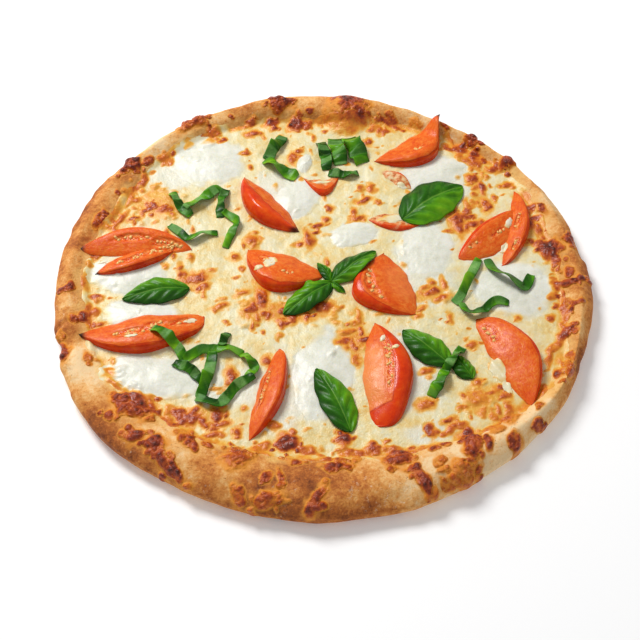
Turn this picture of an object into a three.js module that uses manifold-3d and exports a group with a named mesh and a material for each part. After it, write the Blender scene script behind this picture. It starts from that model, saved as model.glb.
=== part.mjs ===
import Module from 'manifold-3d';
import * as THREE from 'three';
import { mergeVertices } from 'three/addons/utils/BufferGeometryUtils.js';

// A hand-stretched margherita pizza: a dough base with a puffed rim, a sheet of browned cheese,
// pools of fresh mozzarella, tomato wedges, and basil as whole leaves, a sprig and shreds.
// Millimetres, +Z up. The origin is under the middle of the crust, and -Y is the front edge.

// Dough. Each list of stations is taken every 30 degrees, counter-clockwise from +X.
const RIM_RADII = [159.5, 158, 156, 159, 161.5, 161, 159.5, 162, 158.5, 158.5, 157.5, 159];
const RIM_HEIGHTS = [15, 15.5, 17, 19, 17.5, 15.5, 15, 15.2, 16.5, 17, 16.5, 15.5];
const CHEESE_RADII = [141, 146, 143, 136, 143, 142, 141, 138, 128, 121, 131, 148];
const SECTORS = 96;
const DOUGH_THICKNESS = 6.5;
const INNER_LIP_HEIGHT = 11.2;
const OUTLINE_WAVE = 0.8;
const CHEESE_EDGE_WAVE = 1.8;
const CRUST_LUMP = 0.45;
const NOTCH_ANGLE = 3.44;
const NOTCH_SPAN = 0.05;
const NOTCH_DEPTH = 4;

// Sheet of cheese.
const CHEESE_TOP = 9.9;
const CHEESE_WAVE = 0.3;
const CHEESE_EDGE_THICKNESS = 1;
const CHEESE_RINGS = [
  [1, 96], [0.965, 96], [0.91, 96], [0.84, 96], [0.76, 48], [0.68, 48], [0.59, 48],
  [0.5, 48], [0.41, 32], [0.32, 32], [0.22, 24], [0.12, 12],
];

// Toppings.
const GAP = 0.3;
const LIFT_STEP = 0.1;
const SUPPORT_REACH = 1.3;
const ABOVE_ALL = 60;
const MOUND_SIDES = 6;
const FINEST_DETAIL = 0.14;
const LEAF_THICKNESS = 0.7;
const WEDGE_STATIONS = 9;
const LEAF_ROWS = 7;
const SHRED_STEPS = 7;
const POOL_SIDES = 15;
const POOL_RISE = 2;

const TURN = 2 * Math.PI;
const DEGREE = Math.PI / 180;
const UP = new THREE.Vector3(0, 0, 1);
const DOWN = new THREE.Vector3(0, 0, -1);

const MATERIALS = {
  crust: new THREE.MeshStandardMaterial({ color: 0xd7a468, roughness: 0.85, metalness: 0 }),
  cheese: new THREE.MeshStandardMaterial({ color: 0xeedfa6, roughness: 0.45, metalness: 0 }),
  mozzarella: new THREE.MeshStandardMaterial({ color: 0xf1efe3, roughness: 0.4, metalness: 0 }),
  tomato: new THREE.MeshStandardMaterial({ color: 0xdc4a24, roughness: 0.3, metalness: 0 }),
  basil: new THREE.MeshStandardMaterial({ color: 0x3f8f28, roughness: 0.5, metalness: 0 }),
};

const wasm = await Module();
wasm.setup();

const pizza = new THREE.Group();
const solids = [];

// Smooth value round the circle, through stations at equal angles.
function around(stations, angle) {
  const count = stations.length;
  const place = (((angle / TURN) % 1) + 1) % 1 * count;
  const first = Math.floor(place);
  const t = place - first;
  const [a, b, c, d] = [-1, 0, 1, 2].map((step) => stations[(first + step + count) % count]);
  return b + 0.5 * t * (c - a + t * (2 * a - 5 * b + 4 * c - d + t * (3 * (b - c) + d - a)));
}

// Uneven wave of about unit height round the circle.
function ripple(angle, phase) {
  const slow = 0.45 * Math.sin(5 * angle + 1.1 + phase);
  const middle = 0.35 * Math.sin(11 * angle + 2.3 - phase);
  const quick = 0.2 * Math.sin(23 * angle + 0.7 + 2 * phase);
  return slow + middle + quick;
}

// Pleat where the dough was folded: 1 at its middle, 0 away from it.
function notch(angle) {
  return Math.exp(-(((angle - NOTCH_ANGLE) / NOTCH_SPAN) ** 2));
}

function rimRadius(angle) {
  return around(RIM_RADII, angle) + OUTLINE_WAVE * ripple(angle, 0) - NOTCH_DEPTH * notch(angle);
}

function cheeseRadius(angle) {
  return around(CHEESE_RADII, angle) + CHEESE_EDGE_WAVE * ripple(angle, 2.1);
}

// Closed body through loops of points, with a centre point closing each end. The loops run
// right-handed round the way from the first centre to the last one.
function skinned(firstCentre, loops, lastCentre) {
  const points = [firstCentre, ...loops.flat(), lastCentre];
  const faces = [];
  const starts = [];
  let next = 1;
  for (const loop of loops) {
    starts.push(next);
    next += loop.length;
  }
  const bottom = loops[0].length;
  for (let i = 0; i < bottom; i += 1) {
    faces.push(0, 1 + (i + 1) % bottom, 1 + i);
  }
  for (let k = 0; k + 1 < loops.length; k += 1) {
    const [low, lowCount] = [starts[k], loops[k].length];
    const [high, highCount] = [starts[k + 1], loops[k + 1].length];
    let [i, j] = [0, 0];
    while (i < lowCount || j < highCount) {
      const a = low + i % lowCount;
      const b = high + j % highCount;
      if (j === highCount || (i < lowCount && (i + 1) * highCount <= (j + 1) * lowCount)) {
        faces.push(a, low + (i + 1) % lowCount, b);
        i += 1;
      } else {
        faces.push(a, high + (j + 1) % highCount, b);
        j += 1;
      }
    }
  }
  const top = loops[loops.length - 1].length;
  const start = starts[loops.length - 1];
  for (let i = 0; i < top; i += 1) {
    faces.push(start + i, start + (i + 1) % top, points.length - 1);
  }
  return bodyOf(points, faces);
}

// Thin wavy body: rows of points for its upper face, the same split below, and a narrow edge.
function sheet(rows, thickness) {
  const across = rows[0].length;
  const upper = rows.flat();
  const lower = upper.map((point, index) => {
    const row = Math.floor(index / across);
    const column = index % across;
    const along = rows[Math.min(row + 1, rows.length - 1)][column].clone();
    along.sub(rows[Math.max(row - 1, 0)][column]);
    const side = rows[row][Math.min(column + 1, across - 1)].clone();
    side.sub(rows[row][Math.max(column - 1, 0)]);
    return point.clone().addScaledVector(along.cross(side).normalize(), -thickness);
  });
  const faces = [];
  const below = upper.length;
  for (let row = 0; row + 1 < rows.length; row += 1) {
    for (let column = 0; column + 1 < across; column += 1) {
      const a = row * across + column;
      const b = a + across;
      faces.push(a, b, b + 1, a, b + 1, a + 1);
      faces.push(below + a, below + b + 1, below + b, below + a, below + a + 1, below + b + 1);
    }
  }
  const border = [];
  const last = rows.length - 1;
  for (let row = 0; row < last; row += 1) border.push(row * across);
  for (let column = 0; column + 1 < across; column += 1) border.push(last * across + column);
  for (let row = last; row > 0; row -= 1) border.push(row * across + across - 1);
  for (let column = across - 1; column > 0; column -= 1) border.push(column);
  border.forEach((a, index) => {
    const b = border[(index + 1) % border.length];
    faces.push(a, below + a, b, b, below + a, below + b);
  });
  return bodyOf([...upper, ...lower], faces);
}

function bodyOf(points, faces) {
  const geometry = new THREE.BufferGeometry().setFromPoints(points);
  geometry.setIndex(faces);
  return solidOf(geometry);
}

function solidOf(geometry) {
  geometry.deleteAttribute('normal');
  geometry.deleteAttribute('uv');
  const merged = mergeVertices(geometry, 1e-4);
  return new wasm.Manifold(new wasm.Mesh({
    numProp: 3,
    vertProperties: new Float32Array(merged.attributes.position.array),
    triVerts: new Uint32Array(merged.index.array),
  }));
}

function geometryOf(solid) {
  const mesh = solid.getMesh();
  const geometry = new THREE.BufferGeometry();
  geometry.setAttribute('position', new THREE.BufferAttribute(mesh.vertProperties, 3));
  geometry.setIndex(new THREE.BufferAttribute(mesh.triVerts, 1));
  geometry.computeVertexNormals();
  return geometry;
}

// Low dome of browned crust or cheese, sunk to its middle in the surface that it rises from.
function mound(x, y, long, wide, turn, rise, height) {
  const geometry = new THREE.SphereGeometry(1, MOUND_SIDES, 4).rotateX(Math.PI / 2);
  geometry.scale(long / 2, wide / 2, rise).rotateZ(turn * DEGREE).translate(x, y, height);
  return solidOf(geometry);
}

function addPiece(name, solid, material) {
  const mesh = new THREE.Mesh(geometryOf(solid), material);
  mesh.name = name;
  pizza.add(mesh);
  solids.push(solid);
}

// Height of whatever lies highest within a small reach of a point.
const ray = new THREE.Raycaster();
function heightAt(x, y, reach = SUPPORT_REACH) {
  let height = 0;
  for (const [dx, dy] of [[0, 0], [1, 0.1], [-1, -0.1], [0.1, -1], [-0.1, 1]]) {
    ray.set(new THREE.Vector3(x + reach * dx, y + reach * dy, ABOVE_ALL), DOWN);
    const hits = ray.intersectObjects(pizza.children);
    if (hits.length > 0) height = Math.max(height, hits[0].point.z);
  }
  return height;
}

// The piece, raised in small steps until it is clear of all that lies under it.
function settled(solid) {
  let body = solid;
  let sunk = true;
  while (sunk) {
    const tested = body.translate([0, 0, LIFT_STEP - GAP]);
    sunk = solids.some((other) => touches(tested, other));
    if (sunk) body = body.translate([0, 0, LIFT_STEP]);
  }
  return body;
}

function touches(one, other) {
  const [a, b] = [one.boundingBox(), other.boundingBox()];
  const apart = [0, 1, 2].some((axis) => a.min[axis] > b.max[axis] || b.min[axis] > a.max[axis]);
  return !apart && one.intersect(other).volume() > 0;
}

function polar(radius, angle, height) {
  return new THREE.Vector3(radius * Math.cos(angle), radius * Math.sin(angle), height);
}

// Section of the dough from the edge of its flat underside, out over the rim and down inside
// to the floor that the cheese covers, as pairs of radius and height.
function doughSection(angle) {
  const radius = rimRadius(angle);
  const reach = cheeseRadius(angle);
  const width = radius - reach;
  const crest = around(RIM_HEIGHTS, angle) - 0.8 * NOTCH_DEPTH * notch(angle);
  const lump = (phase) => CRUST_LUMP * ripple(2 * angle, phase);
  return [
    [radius - 11, 0],
    [radius - 4.5, 1],
    [radius - 0.9, 4.2],
    [radius, 7.6],
    [radius - 1.6, 11.2],
    [radius - 2.2 - 0.16 * width, crest - 1.9 + lump(1)],
    [radius - 1 - 0.36 * width, crest - 0.2 + lump(2)],
    [radius - 0.56 * width, crest - 0.4 + lump(3)],
    [radius - 0.78 * width, crest - 2.2 + lump(4)],
    [reach, INNER_LIP_HEIGHT],
    [reach - 3, 8.6],
    [reach - 8, DOUGH_THICKNESS],
  ];
}

function ringOf(count, pointAt) {
  return Array.from({ length: count }, (_, index) => pointAt(TURN * index / count));
}

// Browned crisps and bubbles on the rim: x, y, length, width, turn in degrees, rise.
const CRISPS = [
  [-106, -87, 22, 20, 0, 3.2], [-82, -130, 24, 8, -47, 1.8], [-102, -109, 12, 9, 20, 1.8],
  [-46, -124, 18, 14, 10, 2.6], [-20, -112, 13, 12, 0, 2.4], [-31, -149, 17, 8, 5, 1.6],
  [-5, -151, 22, 6, 60, 1.6], [6, -129, 17, 6, 14, 1.5], [40, -123, 16, 12, 10, 2.2],
  [52, -138, 19, 7, -65, 1.8], [74, -134, 18, 16, 0, 3], [80, -116, 19, 10, 88, 2.4],
  [103, -114, 9, 8, 0, 1.5], [118, -102, 9, 6, 30, 1.6], [132, -67, 8, 6, 70, 1.4],
  [140, -38, 10, 7, 60, 1.6], [146, -2, 18, 6, 5, 1.8], [137, 26, 13, 12, 50, 2.2],
  [151, 32, 13, 8, 80, 1.8], [116, 93, 11, 9, 60, 2.4], [98, 115, 13, 6, 48, 1.8],
  [-27, 145, 14, 11, 0, 2.6], [-84, 131, 22, 11, 35, 3.4], [-120, 95, 12, 9, 70, 2.4],
  [-149, -50, 17, 7, -70, 2], [-151, -6, 12, 6, 10, 1.4],
];
const BUBBLE = [16, 137, 31, 32, 0, 6];

function makeCrust() {
  const sections = ringOf(SECTORS, doughSection);
  const loops = sections[0].map((_, step) => sections.map((section, index) => {
    const [radius, height] = section[step];
    return polar(radius, TURN * index / SECTORS, height);
  }));
  const floor = new THREE.Vector3(0, 0, DOUGH_THICKNESS);
  let dough = skinned(new THREE.Vector3(0, 0, 0), loops, floor);
  addPiece('crust', dough, MATERIALS.crust);
  const hollows = [];
  for (const [x, y, long, wide, turn, rise] of [...CRISPS, BUBBLE]) {
    const height = heightAt(x, y, 0) - GAP;
    dough = dough.add(mound(x, y, long, wide, turn, rise, height));
    hollows.push(mound(x, y, long + 2 * GAP, wide + 2 * GAP, turn, rise + GAP, height));
  }
  replacePiece('crust', dough);
  return hollows;
}

function replacePiece(name, solid) {
  const index = pizza.children.findIndex((mesh) => mesh.name === name);
  solids[index] = solid.simplify(FINEST_DETAIL);
  pizza.children[index].geometry = geometryOf(solids[index]);
}

// Browned bubbles of the cheese: x, y, width.
const BLISTERS = [
  [-120, 78, 5], [-104, 62, 6], [-98, 59, 6], [-45, 125, 6], [-18, 104, 5], [38, 127, 6],
  [-8, 34, 8], [109, 92, 7], [96, 84, 7], [100, 77, 6], [102, 62, 8], [83, 49, 11],
  [128, 45, 7], [132, 41, 6], [-76, 4, 10], [-60, -17, 6], [-74, -95, 11], [-59, -94, 9],
  [-52, -67, 8], [-60, -106, 6], [-43, 34, 8], [-36, -11, 10], [-23, -21, 7], [-1, -18, 10],
  [64, -7, 8], [69, -12, 6], [59, -64, 6], [57, -87, 7], [86, -83, 14], [101, -81, 7],
];

// A round puck down into the dough, from which the dough and its bubbles are then cut, each
// with the gap that keeps the two pieces apart.
function makeCheese(hollows) {
  const under = ringOf(SECTORS, (angle) => {
    return polar(cheeseRadius(angle), angle, DOUGH_THICKNESS - 1);
  });
  const top = CHEESE_RINGS.map(([share, count]) => ringOf(count, (angle) => {
    const point = polar(share * cheeseRadius(angle), angle, 0);
    const climb = THREE.MathUtils.smoothstep(share, 0.92, 1);
    const rise = INNER_LIP_HEIGHT + GAP + CHEESE_EDGE_THICKNESS - CHEESE_TOP;
    const wave = Math.sin(0.09 * point.x + 0.04 * point.y) * Math.cos(0.07 * point.y - 0.03 * point.x);
    return point.setZ(CHEESE_TOP + CHEESE_WAVE * wave * (1 - climb) + rise * climb);
  }));
  const floor = new THREE.Vector3(0, 0, DOUGH_THICKNESS - 1);
  let cheese = skinned(floor, [under, ...top], new THREE.Vector3(0, 0, CHEESE_TOP));
  addPiece('cheese', cheese, MATERIALS.cheese);
  for (const [x, y, wide] of BLISTERS) {
    const turn = 37 * x + 11 * y;
    cheese = cheese.add(mound(x, y, wide, 0.8 * wide, turn, 0.9 + 0.06 * wide, heightAt(x, y, 0)));
  }
  cheese = cheese.subtract(solids[0].translate([0, 0, GAP]));
  for (const hollow of hollows) cheese = cheese.subtract(hollow);
  replacePiece('cheese', cheese);
}

// Pools of melted fresh mozzarella: x, y, length, width, turn in degrees.
const POOLS = [
  [-73, 100, 50, 43, -10], [-11, 98, 17, 10, 80], [-15, 68, 36, 28, 60], [69, 89, 48, 28, 20],
  [115, -5, 52, 44, 10], [62, 25, 46, 36, 80], [-117, 8, 50, 30, 0], [-106, -22, 48, 23, 0],
  [-98, -68, 60, 31, -10], [19, 38, 31, 20, 15], [0, -67, 64, 36, 85],
];

function makePool(x, y, long, wide, turn) {
  const outline = (share, lift) => ringOf(POOL_SIDES, (angle) => {
    const point = polar(share * (1 + 0.07 * ripple(angle, x)), angle, 0);
    point.multiply(new THREE.Vector3(long / 2, wide / 2, 0));
    point.applyAxisAngle(UP, turn * DEGREE).add(new THREE.Vector3(x, y, 0));
    return point.setZ(heightAt(point.x, point.y) + GAP + lift);
  });
  const under = new THREE.Vector3(x, y, heightAt(x, y) + GAP);
  const crown = under.clone().addScaledVector(UP, POOL_RISE);
  const domes = [[1, 0], [0.98, 0.3], [0.8, 0.75], [0.4, 1]];
  const loops = domes.map(([share, lift]) => outline(share, lift * POOL_RISE));
  return settled(skinned(under, loops, crown));
}

// Tomato wedges. Each is a half-moon from tip to tip: the bulge of the skin and of the cut edge
// are measured from the line between the tips, to the left of the way along it.
const WEDGES = [
  [[[-147, 23], [-79, 26], 17, -2, 7], [[-136, 7], [-88, 28], -7, 7, 6]],
  [[[-141, -38], [-69, -25], -19, 4, 8]],
  [[[-49, 86], [-14, 40], -16, 3, 9]],
  [[[-45, 26], [1, 6], -23, 3, 8]],
  [[[37, 23], [54, -24], -29, 4, 8]],
  [[[33, 99], [76, 137], -23, 3, 8]],
  [[[120, 73], [107, 12], 13, 1, 7], [[120, 57], [82, 18], -7, 13, 6]],
  [[[89, -28], [115, -89], 21, -3, 9]],
  [[[30, -30], [31, -102], 20, -6, 9]],
  [[[-25, -48], [-41, -110], 11, -3, 8]],
  [[[-12, 86], [11, 88], -17, -4, 3.5]],
  [[[28, 50], [61, 46], -7, 6, 3]],
  [[[37, 90], [56, 75], 6, -2, 3]],
];

// Section of a wedge, from the cut edge (0) to the skin (1), with the share of its height:
// flat below, round over the skin, and down the upper cut face.
const WEDGE_SECTION = [
  [0, 0], [0.9, 0], [1, 0.3], [0.97, 0.62], [0.84, 0.9], [0.66, 1], [0.34, 0.68], [0.02, 0.28],
];

function makeWedge([tipX, tipY], [endX, endY], skinBulge, edgeBulge, rise) {
  const start = new THREE.Vector2(tipX, tipY);
  const end = new THREE.Vector2(endX, endY);
  const along = end.clone().sub(start).normalize();
  const left = new THREE.Vector2(-along.y, along.x);
  const baseAt = (place) => heightAt(place.x, place.y) + GAP;
  const loops = [];
  for (let station = 1; station <= WEDGE_STATIONS; station += 1) {
    const swell = Math.sin(Math.PI * station / (WEDGE_STATIONS + 1));
    const middle = start.clone().lerp(end, station / (WEDGE_STATIONS + 1));
    const cut = middle.clone().addScaledVector(left, edgeBulge * swell ** 0.8);
    const skin = middle.clone().addScaledVector(left, skinBulge * swell ** 0.8);
    const [cutBase, skinBase] = [baseAt(cut), baseAt(skin)];
    const loop = WEDGE_SECTION.map(([share, height]) => {
      const place = cut.clone().lerp(skin, share);
      const base = THREE.MathUtils.lerp(cutBase, skinBase, share);
      return new THREE.Vector3(place.x, place.y, base + height * rise * swell ** 0.6);
    });
    loops.push(skinBulge > edgeBulge ? loop : loop.reverse());
  }
  const tipOf = (place) => new THREE.Vector3(place.x, place.y, baseAt(place) + 0.12 * rise);
  return skinned(tipOf(start), loops, tipOf(end));
}

// Basil leaves: foot, tip, width, and how far the middle stands up.
const LEAVES = [
  [[[-79, -4], [-118, -12], 19, 4]],
  [[[49, 48], [88, 77], 30, 4.5]],
  [
    [[5, 0], [-23, -24], 17, 4], [[5, 0], [32, 24], 16, 5],
    [[5, 0], [-3, 15], 7, 3], [[5, 0], [13, -8], 5, 2],
  ],
  [[[15, -105], [-4, -64], 19, 4]],
  [[[72, -60], [46, -36], 19, 4]],
  [[[84, -70], [74, -54], 12, 4]],
];

function makeLeaf([footX, footY], [tipX, tipY], wide, rise) {
  const foot = new THREE.Vector3(footX, footY, heightAt(footX, footY) + 1.2);
  const tip = new THREE.Vector3(tipX, tipY, heightAt(tipX, tipY) + 1.4);
  const side = tip.clone().sub(foot).setZ(0).normalize().cross(UP).negate();
  const shares = wide > 8 ? [1, 0.5, 0, -0.5, -1] : [1, 0, -1];
  const rows = [];
  for (let row = 0; row <= LEAF_ROWS; row += 1) {
    const t = row / LEAF_ROWS;
    const half = Math.max(0.5, 0.5 * wide * Math.sin(Math.PI * t ** 0.8) ** 0.75);
    rows.push(shares.map((share) => {
      const dome = rise * Math.sin(Math.PI * t) * (1 - 0.75 * share * share);
      const furrow = 0.8 * Math.sin(Math.PI * t) * Math.max(0, 1 - 3 * Math.abs(share));
      const wave = 0.5 * Math.sin(9 * t + 2 * share) * Math.abs(share);
      const point = foot.clone().lerp(tip, t).addScaledVector(side, share * half);
      return point.addScaledVector(UP, dome - furrow + wave);
    }));
  }
  return sheet(rows, LEAF_THICKNESS);
}

// Shreds of basil: width, how far the middle stands up, and the places that each one passes.
const SHREDS = [
  [7, 2, [[-94, 73], [-88, 60], [-81, 53]]],
  [8, 2, [[-63, 77], [-73, 68], [-85, 58]]],
  [7, 2.5, [[-60, 75], [-63, 63], [-63, 52]]],
  [6, 2, [[-61, 56], [-53, 48], [-55, 40], [-59, 28]]],
  [6, 2.5, [[-94, 46], [-88, 40], [-81, 34], [-73, 38], [-64, 39]]],
  [9, 2.5, [[-25, 120], [-33, 110], [-32, 100]]],
  [9, 2, [[-34, 98], [-26, 90], [-17, 84]]],
  [6, 2.5, [[-1, 116], [2, 105], [3, 92]]],
  [7, 3, [[8, 119], [10, 107], [12, 96]]],
  [10, 4, [[17, 119], [22, 108], [27, 97]]],
  [6, 2, [[4, 89], [14, 87], [23, 89]]],
  [7, 3, [[94, 18], [89, 6], [82, -10], [77, -16]]],
  [7, 3, [[99, 18], [103, 6], [112, -1], [119, -6], [124, 4]]],
  [6, 3, [[81, -16], [85, -24], [92, -23], [101, -16], [109, -17]]],
  [7, 3, [[-98, -38], [-88, -44], [-81, -52], [-79, -58]]],
  [7, 2, [[-85, -58], [-75, -64], [-68, -71]]],
  [7, 3, [[-79, -57], [-71, -51], [-63, -50], [-53, -49], [-46, -52]]],
  [8, 3, [[-63, -52], [-65, -70], [-69, -82]]],
  [6, 2, [[-55, -37], [-58, -48]]],
  [7, 3, [[-46, -52], [-39, -62], [-43, -68]]],
  [7, 3, [[-71, -82], [-59, -87], [-53, -82], [-47, -74], [-39, -68]]],
  [7, 3, [[80, -48], [75, -56], [69, -64]]],
  [8, 3, [[69, -64], [65, -73], [60, -82]]],
];

function makeShred(wide, rise, places, turn) {
  const route = new THREE.CatmullRomCurve3(places.map(([x, y]) => new THREE.Vector3(x, y, 0)));
  const heights = [];
  const rows = [];
  for (let step = 0; step <= SHRED_STEPS; step += 1) {
    const point = route.getPointAt(step / SHRED_STEPS);
    heights.push(heightAt(point.x, point.y, 0.4 * wide) + GAP + LEAF_THICKNESS);
  }
  for (let step = 0; step <= SHRED_STEPS; step += 1) {
    const t = step / SHRED_STEPS;
    const point = route.getPointAt(t);
    const side = route.getTangentAt(t).cross(UP).negate();
    const before = heights[Math.max(step - 1, 0)];
    const after = heights[Math.min(step + 1, SHRED_STEPS)];
    const arch = rise * Math.sin(Math.PI * t) * (0.6 + 0.4 * Math.sin(6 * t + turn));
    point.z = Math.max(heights[step], (before + after) / 2) + arch + 0.2;
    const half = 0.5 * wide * (0.55 + 0.45 * Math.sin(Math.PI * t) ** 0.5);
    side.z = 0.5 * Math.sin(5 * t + turn) * Math.sin(Math.PI * t);
    rows.push([1, -1].map((share) => point.clone().addScaledVector(side, share * half)));
  }
  return settled(sheet(rows, LEAF_THICKNESS));
}

function joined(parts) {
  return parts.reduce((whole, part) => whole.add(part)).simplify(FINEST_DETAIL);
}

makeCheese(makeCrust());
POOLS.forEach((row, index) => {
  addPiece(`mozzarella_${index + 1}`, makePool(...row), MATERIALS.mozzarella);
});
WEDGES.forEach((rows, index) => {
  const wedge = settled(joined(rows.map((row) => makeWedge(...row))));
  addPiece(`tomato_${index + 1}`, wedge, MATERIALS.tomato);
});
LEAVES.forEach((rows, index) => {
  const leaf = settled(joined(rows.map((row) => makeLeaf(...row))));
  addPiece(`basil_leaf_${index + 1}`, leaf, MATERIALS.basil);
});
SHREDS.forEach(([wide, rise, places], index) => {
  addPiece(`basil_shred_${index + 1}`, makeShred(wide, rise, places, index), MATERIALS.basil);
});

export default pizza;
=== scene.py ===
import math

import bmesh
import bpy
import numpy as np
from mathutils import Matrix, Vector
from mathutils.bvhtree import BVHTree


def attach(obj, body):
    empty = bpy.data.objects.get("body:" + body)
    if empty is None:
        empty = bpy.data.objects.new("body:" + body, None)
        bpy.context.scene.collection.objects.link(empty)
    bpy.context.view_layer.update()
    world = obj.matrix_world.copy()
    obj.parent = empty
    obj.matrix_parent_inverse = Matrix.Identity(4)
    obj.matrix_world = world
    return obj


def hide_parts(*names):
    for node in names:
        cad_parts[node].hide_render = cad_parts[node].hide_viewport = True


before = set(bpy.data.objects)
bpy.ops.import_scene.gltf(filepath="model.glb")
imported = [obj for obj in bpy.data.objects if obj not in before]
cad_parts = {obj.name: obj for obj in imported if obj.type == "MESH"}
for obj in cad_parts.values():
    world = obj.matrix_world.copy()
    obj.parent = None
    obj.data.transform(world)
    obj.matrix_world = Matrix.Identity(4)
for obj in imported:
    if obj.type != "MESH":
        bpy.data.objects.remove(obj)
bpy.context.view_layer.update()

# The crust: one round of yeast dough, stretched by hand so that its rim is uneven, and baked
# on a flat surface. The rim puffs up, browns in patches, and carries crisps of cheese that ran
# over it and burnt on. Sizes are in millimetres, and angles run from +X towards +Y.
TURN = 2 * math.pi
RIM_RADII = (159.5, 158, 156, 159, 161.5, 161, 159.5, 162, 158.5, 158.5, 157.5, 159)
RIM_HEIGHTS = (15, 15.5, 17, 19, 17.5, 15.5, 15, 15.2, 16.5, 17, 16.5, 15.5)
CHEESE_RADII = (141, 146, 143, 136, 143, 142, 141, 138, 128, 121, 131, 148)
DOUGH_THICKNESS = 6.5
INNER_LIP_HEIGHT = 11.2
NOTCH_ANGLE = 3.44
NOTCH_SPAN = 0.05
NOTCH_DEPTH = 4
RIM_SECTORS = 900
STEPS_BETWEEN = (2, 5, 7, 8, 9, 11, 11, 11, 9, 6, 2)
PLEAT_ANGLE = 3.36
PLEAT_SPAN = 0.012
PLEAT_DEPTH = 1.6
HOLLOW_DEPTH = 1.6
PUFF_SWELL = 0.75
CRISP_SWELL = 1.1
BUBBLE_SWELL = 0.92
SHRINKAGE = 0.2
OUTER_MARGIN = 0.1

# Browned crisps: x, y, length, width, turn in degrees, rise, how dark.
CRISPS = (
    (-106, -87, 22, 20, 0, 3.2, 1), (-82, -130, 24, 8, -47, 1.8, 1), (-102, -109, 12, 9, 20, 1.8, 0.9),
    (-46, -124, 18, 14, 10, 2.4, 0.6), (-20, -112, 13, 12, 0, 2.2, 1), (-31, -149, 17, 8, 5, 1.4, 0.65),
    (-5, -151, 22, 6, 60, 1.4, 0.9), (6, -129, 17, 6, 14, 1.4, 0.8), (40, -123, 16, 12, 10, 2, 0.8),
    (52, -138, 19, 7, -65, 1.8, 1), (74, -134, 18, 16, 0, 2.6, 0.5), (80, -116, 19, 10, 88, 2.4, 0.9),
    (103, -114, 9, 8, 0, 1.5, 0.9), (118, -102, 9, 6, 30, 1.6, 0.9), (132, -67, 8, 6, 70, 1.4, 0.8),
    (140, -38, 10, 7, 60, 1.6, 0.9), (146, -2, 18, 6, 5, 1.8, 1), (137, 26, 13, 12, 50, 2.2, 1.1),
    (151, 32, 13, 8, 80, 1.6, 0.9), (116, 93, 11, 9, 60, 2.2, 1), (98, 115, 13, 6, 48, 1.8, 0.9),
    (-27, 145, 14, 11, 0, 2.4, 0.9), (-84, 131, 22, 11, 35, 3, 0.75), (-120, 95, 12, 9, 70, 2.4, 1.1),
    (-149, -50, 17, 7, -70, 1.8, 0.8), (-151, -6, 12, 6, 10, 1.4, 0.9),
    (-91, -114, 12, 10, 0, 1.6, 1), (-72, -114, 15, 6, -60, 1.2, 0.9), (-30, -136, 6, 8, 0, 0.9, 0.95),
    (-23, -136, 4, 10, 10, 0.8, 0.9), (-45, -147, 7, 9, 0, 0.9, 0.75), (11, -109, 10, 9, 0, 1.4, 1),
    (43, -121, 7, 8, 0, 1, 1), (57, -103, 6, 8, 0, 1, 1), (89, -115, 5, 10, 0, 1, 1),
    (117, -103, 6, 6, 0, 0.9, 0.8), (140, 15, 6, 5, 0, 0.9, 0.85), (136, 55, 5, 8, 30, 0.7, 0.55),
    (148, -19, 10, 3, 20, 0.7, 0.95), (138, -11, 3, 3, 0, 0.4, 1.1), (133, -27, 6, 5, 0, 0.8, 0.8),
    (-134, -9, 7, 5, 0, 0.9, 0.8), (-140, -26, 8, 6, 60, 0.9, 0.9), (-119, -71, 6, 6, 0, 0.8, 0.6),
    (-123, -94, 3, 3, 0, 0.3, 1), (-31, 147, 5, 9, 80, 1.4, 1), (-17, 133, 11, 10, 0, 2, 1.1),
    (-33, 134, 8, 7, 0, 1.4, 0.95), (-22, 147, 5, 9, 100, 1.4, 1), (90, 111, 7, 6, 30, 1, 0.9),
    (98, 105, 7, 6, 0, 1, 1.05), (44, 132, 22, 2.6, -22, 0.4, 0.75), (32, 136, 10, 3, -40, 0.4, 0.5),
    (-112, 84, 4, 13, 0, 1.2, 0.6), (-125, 88, 8, 6, 40, 1, 0.8), (-70, 124, 9, 7, -50, 1.4, 0.6),
    (-88, 139, 12, 6, 20, 1.2, 0.95), (-27, -101, 7, 6, 0, 0.8, 0.6), (62, -128, 8, 6, 40, 1, 0.5),
    (66, -140, 12, 6, -20, 0.8, 0.55), (85, -136, 5, 14, 20, 1, 0.9), (75, -102, 9, 5, 10, 0.8, 0.5),
)
# The one large bubble at the back, and where it charred: x, y, width, rise or how dark.
BUBBLE = (16, 137, 31, 5.6)
BUBBLE_CHARS = ((17, 147, 15, 0.62), (25, 137, 9, 0.55), (7, 149, 9, 0.3), (31, 143, 7, 0.35))
# Specks that charred at the foot of the front: x, width. Then how high they are, and how tall.
FOOT_CHARS = ((14, 2.4), (19, 4.5), (25, 2), (31, 3), (36, 4), (41, 1.8), (-62, 2))
FOOT_HEIGHT = 2.6
FOOT_SPREAD = 1.1
# Small browned bubbles crowd along the cheese's edge: how many, and how far in and out.
EDGE_BUBBLES = 190
EDGE_INWARD = 9
EDGE_OUTWARD = 6
# Places where the dough itself browned: x, y, width, how brown (paler where it is below zero).
TOASTED = (
    (-120, -112, 40, 0.3), (-140, -92, 40, 0.25), (-154, -35, 34, 0.35), (-158, 10, 44, 0.15),
    (-148, 62, 60, 0.25), (-135, 85, 40, 0.15), (-60, -148, 40, 0.2), (20, -156, 46, 0.2),
    (-100, 134, 44, 0.15), (-112, 104, 44, -0.3), (-50, 150, 50, 0.3), (8, 152, 40, 0.25),
    (60, 148, 50, 0), (105, 122, 50, 0.15), (140, 78, 44, 0.15), (156, 20, 50, 0.25),
    (156, -35, 50, 0.1), (142, -80, 50, 0), (104, -120, 60, -0.45), (60, -150, 50, -0.3),
    (-20, -156, 56, 0.3), (-135, -62, 34, -0.4), (-126, 20, 30, -0.2), (128, 62, 40, -0.3),
    (-95, -135, 30, 0.3),
)


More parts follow.
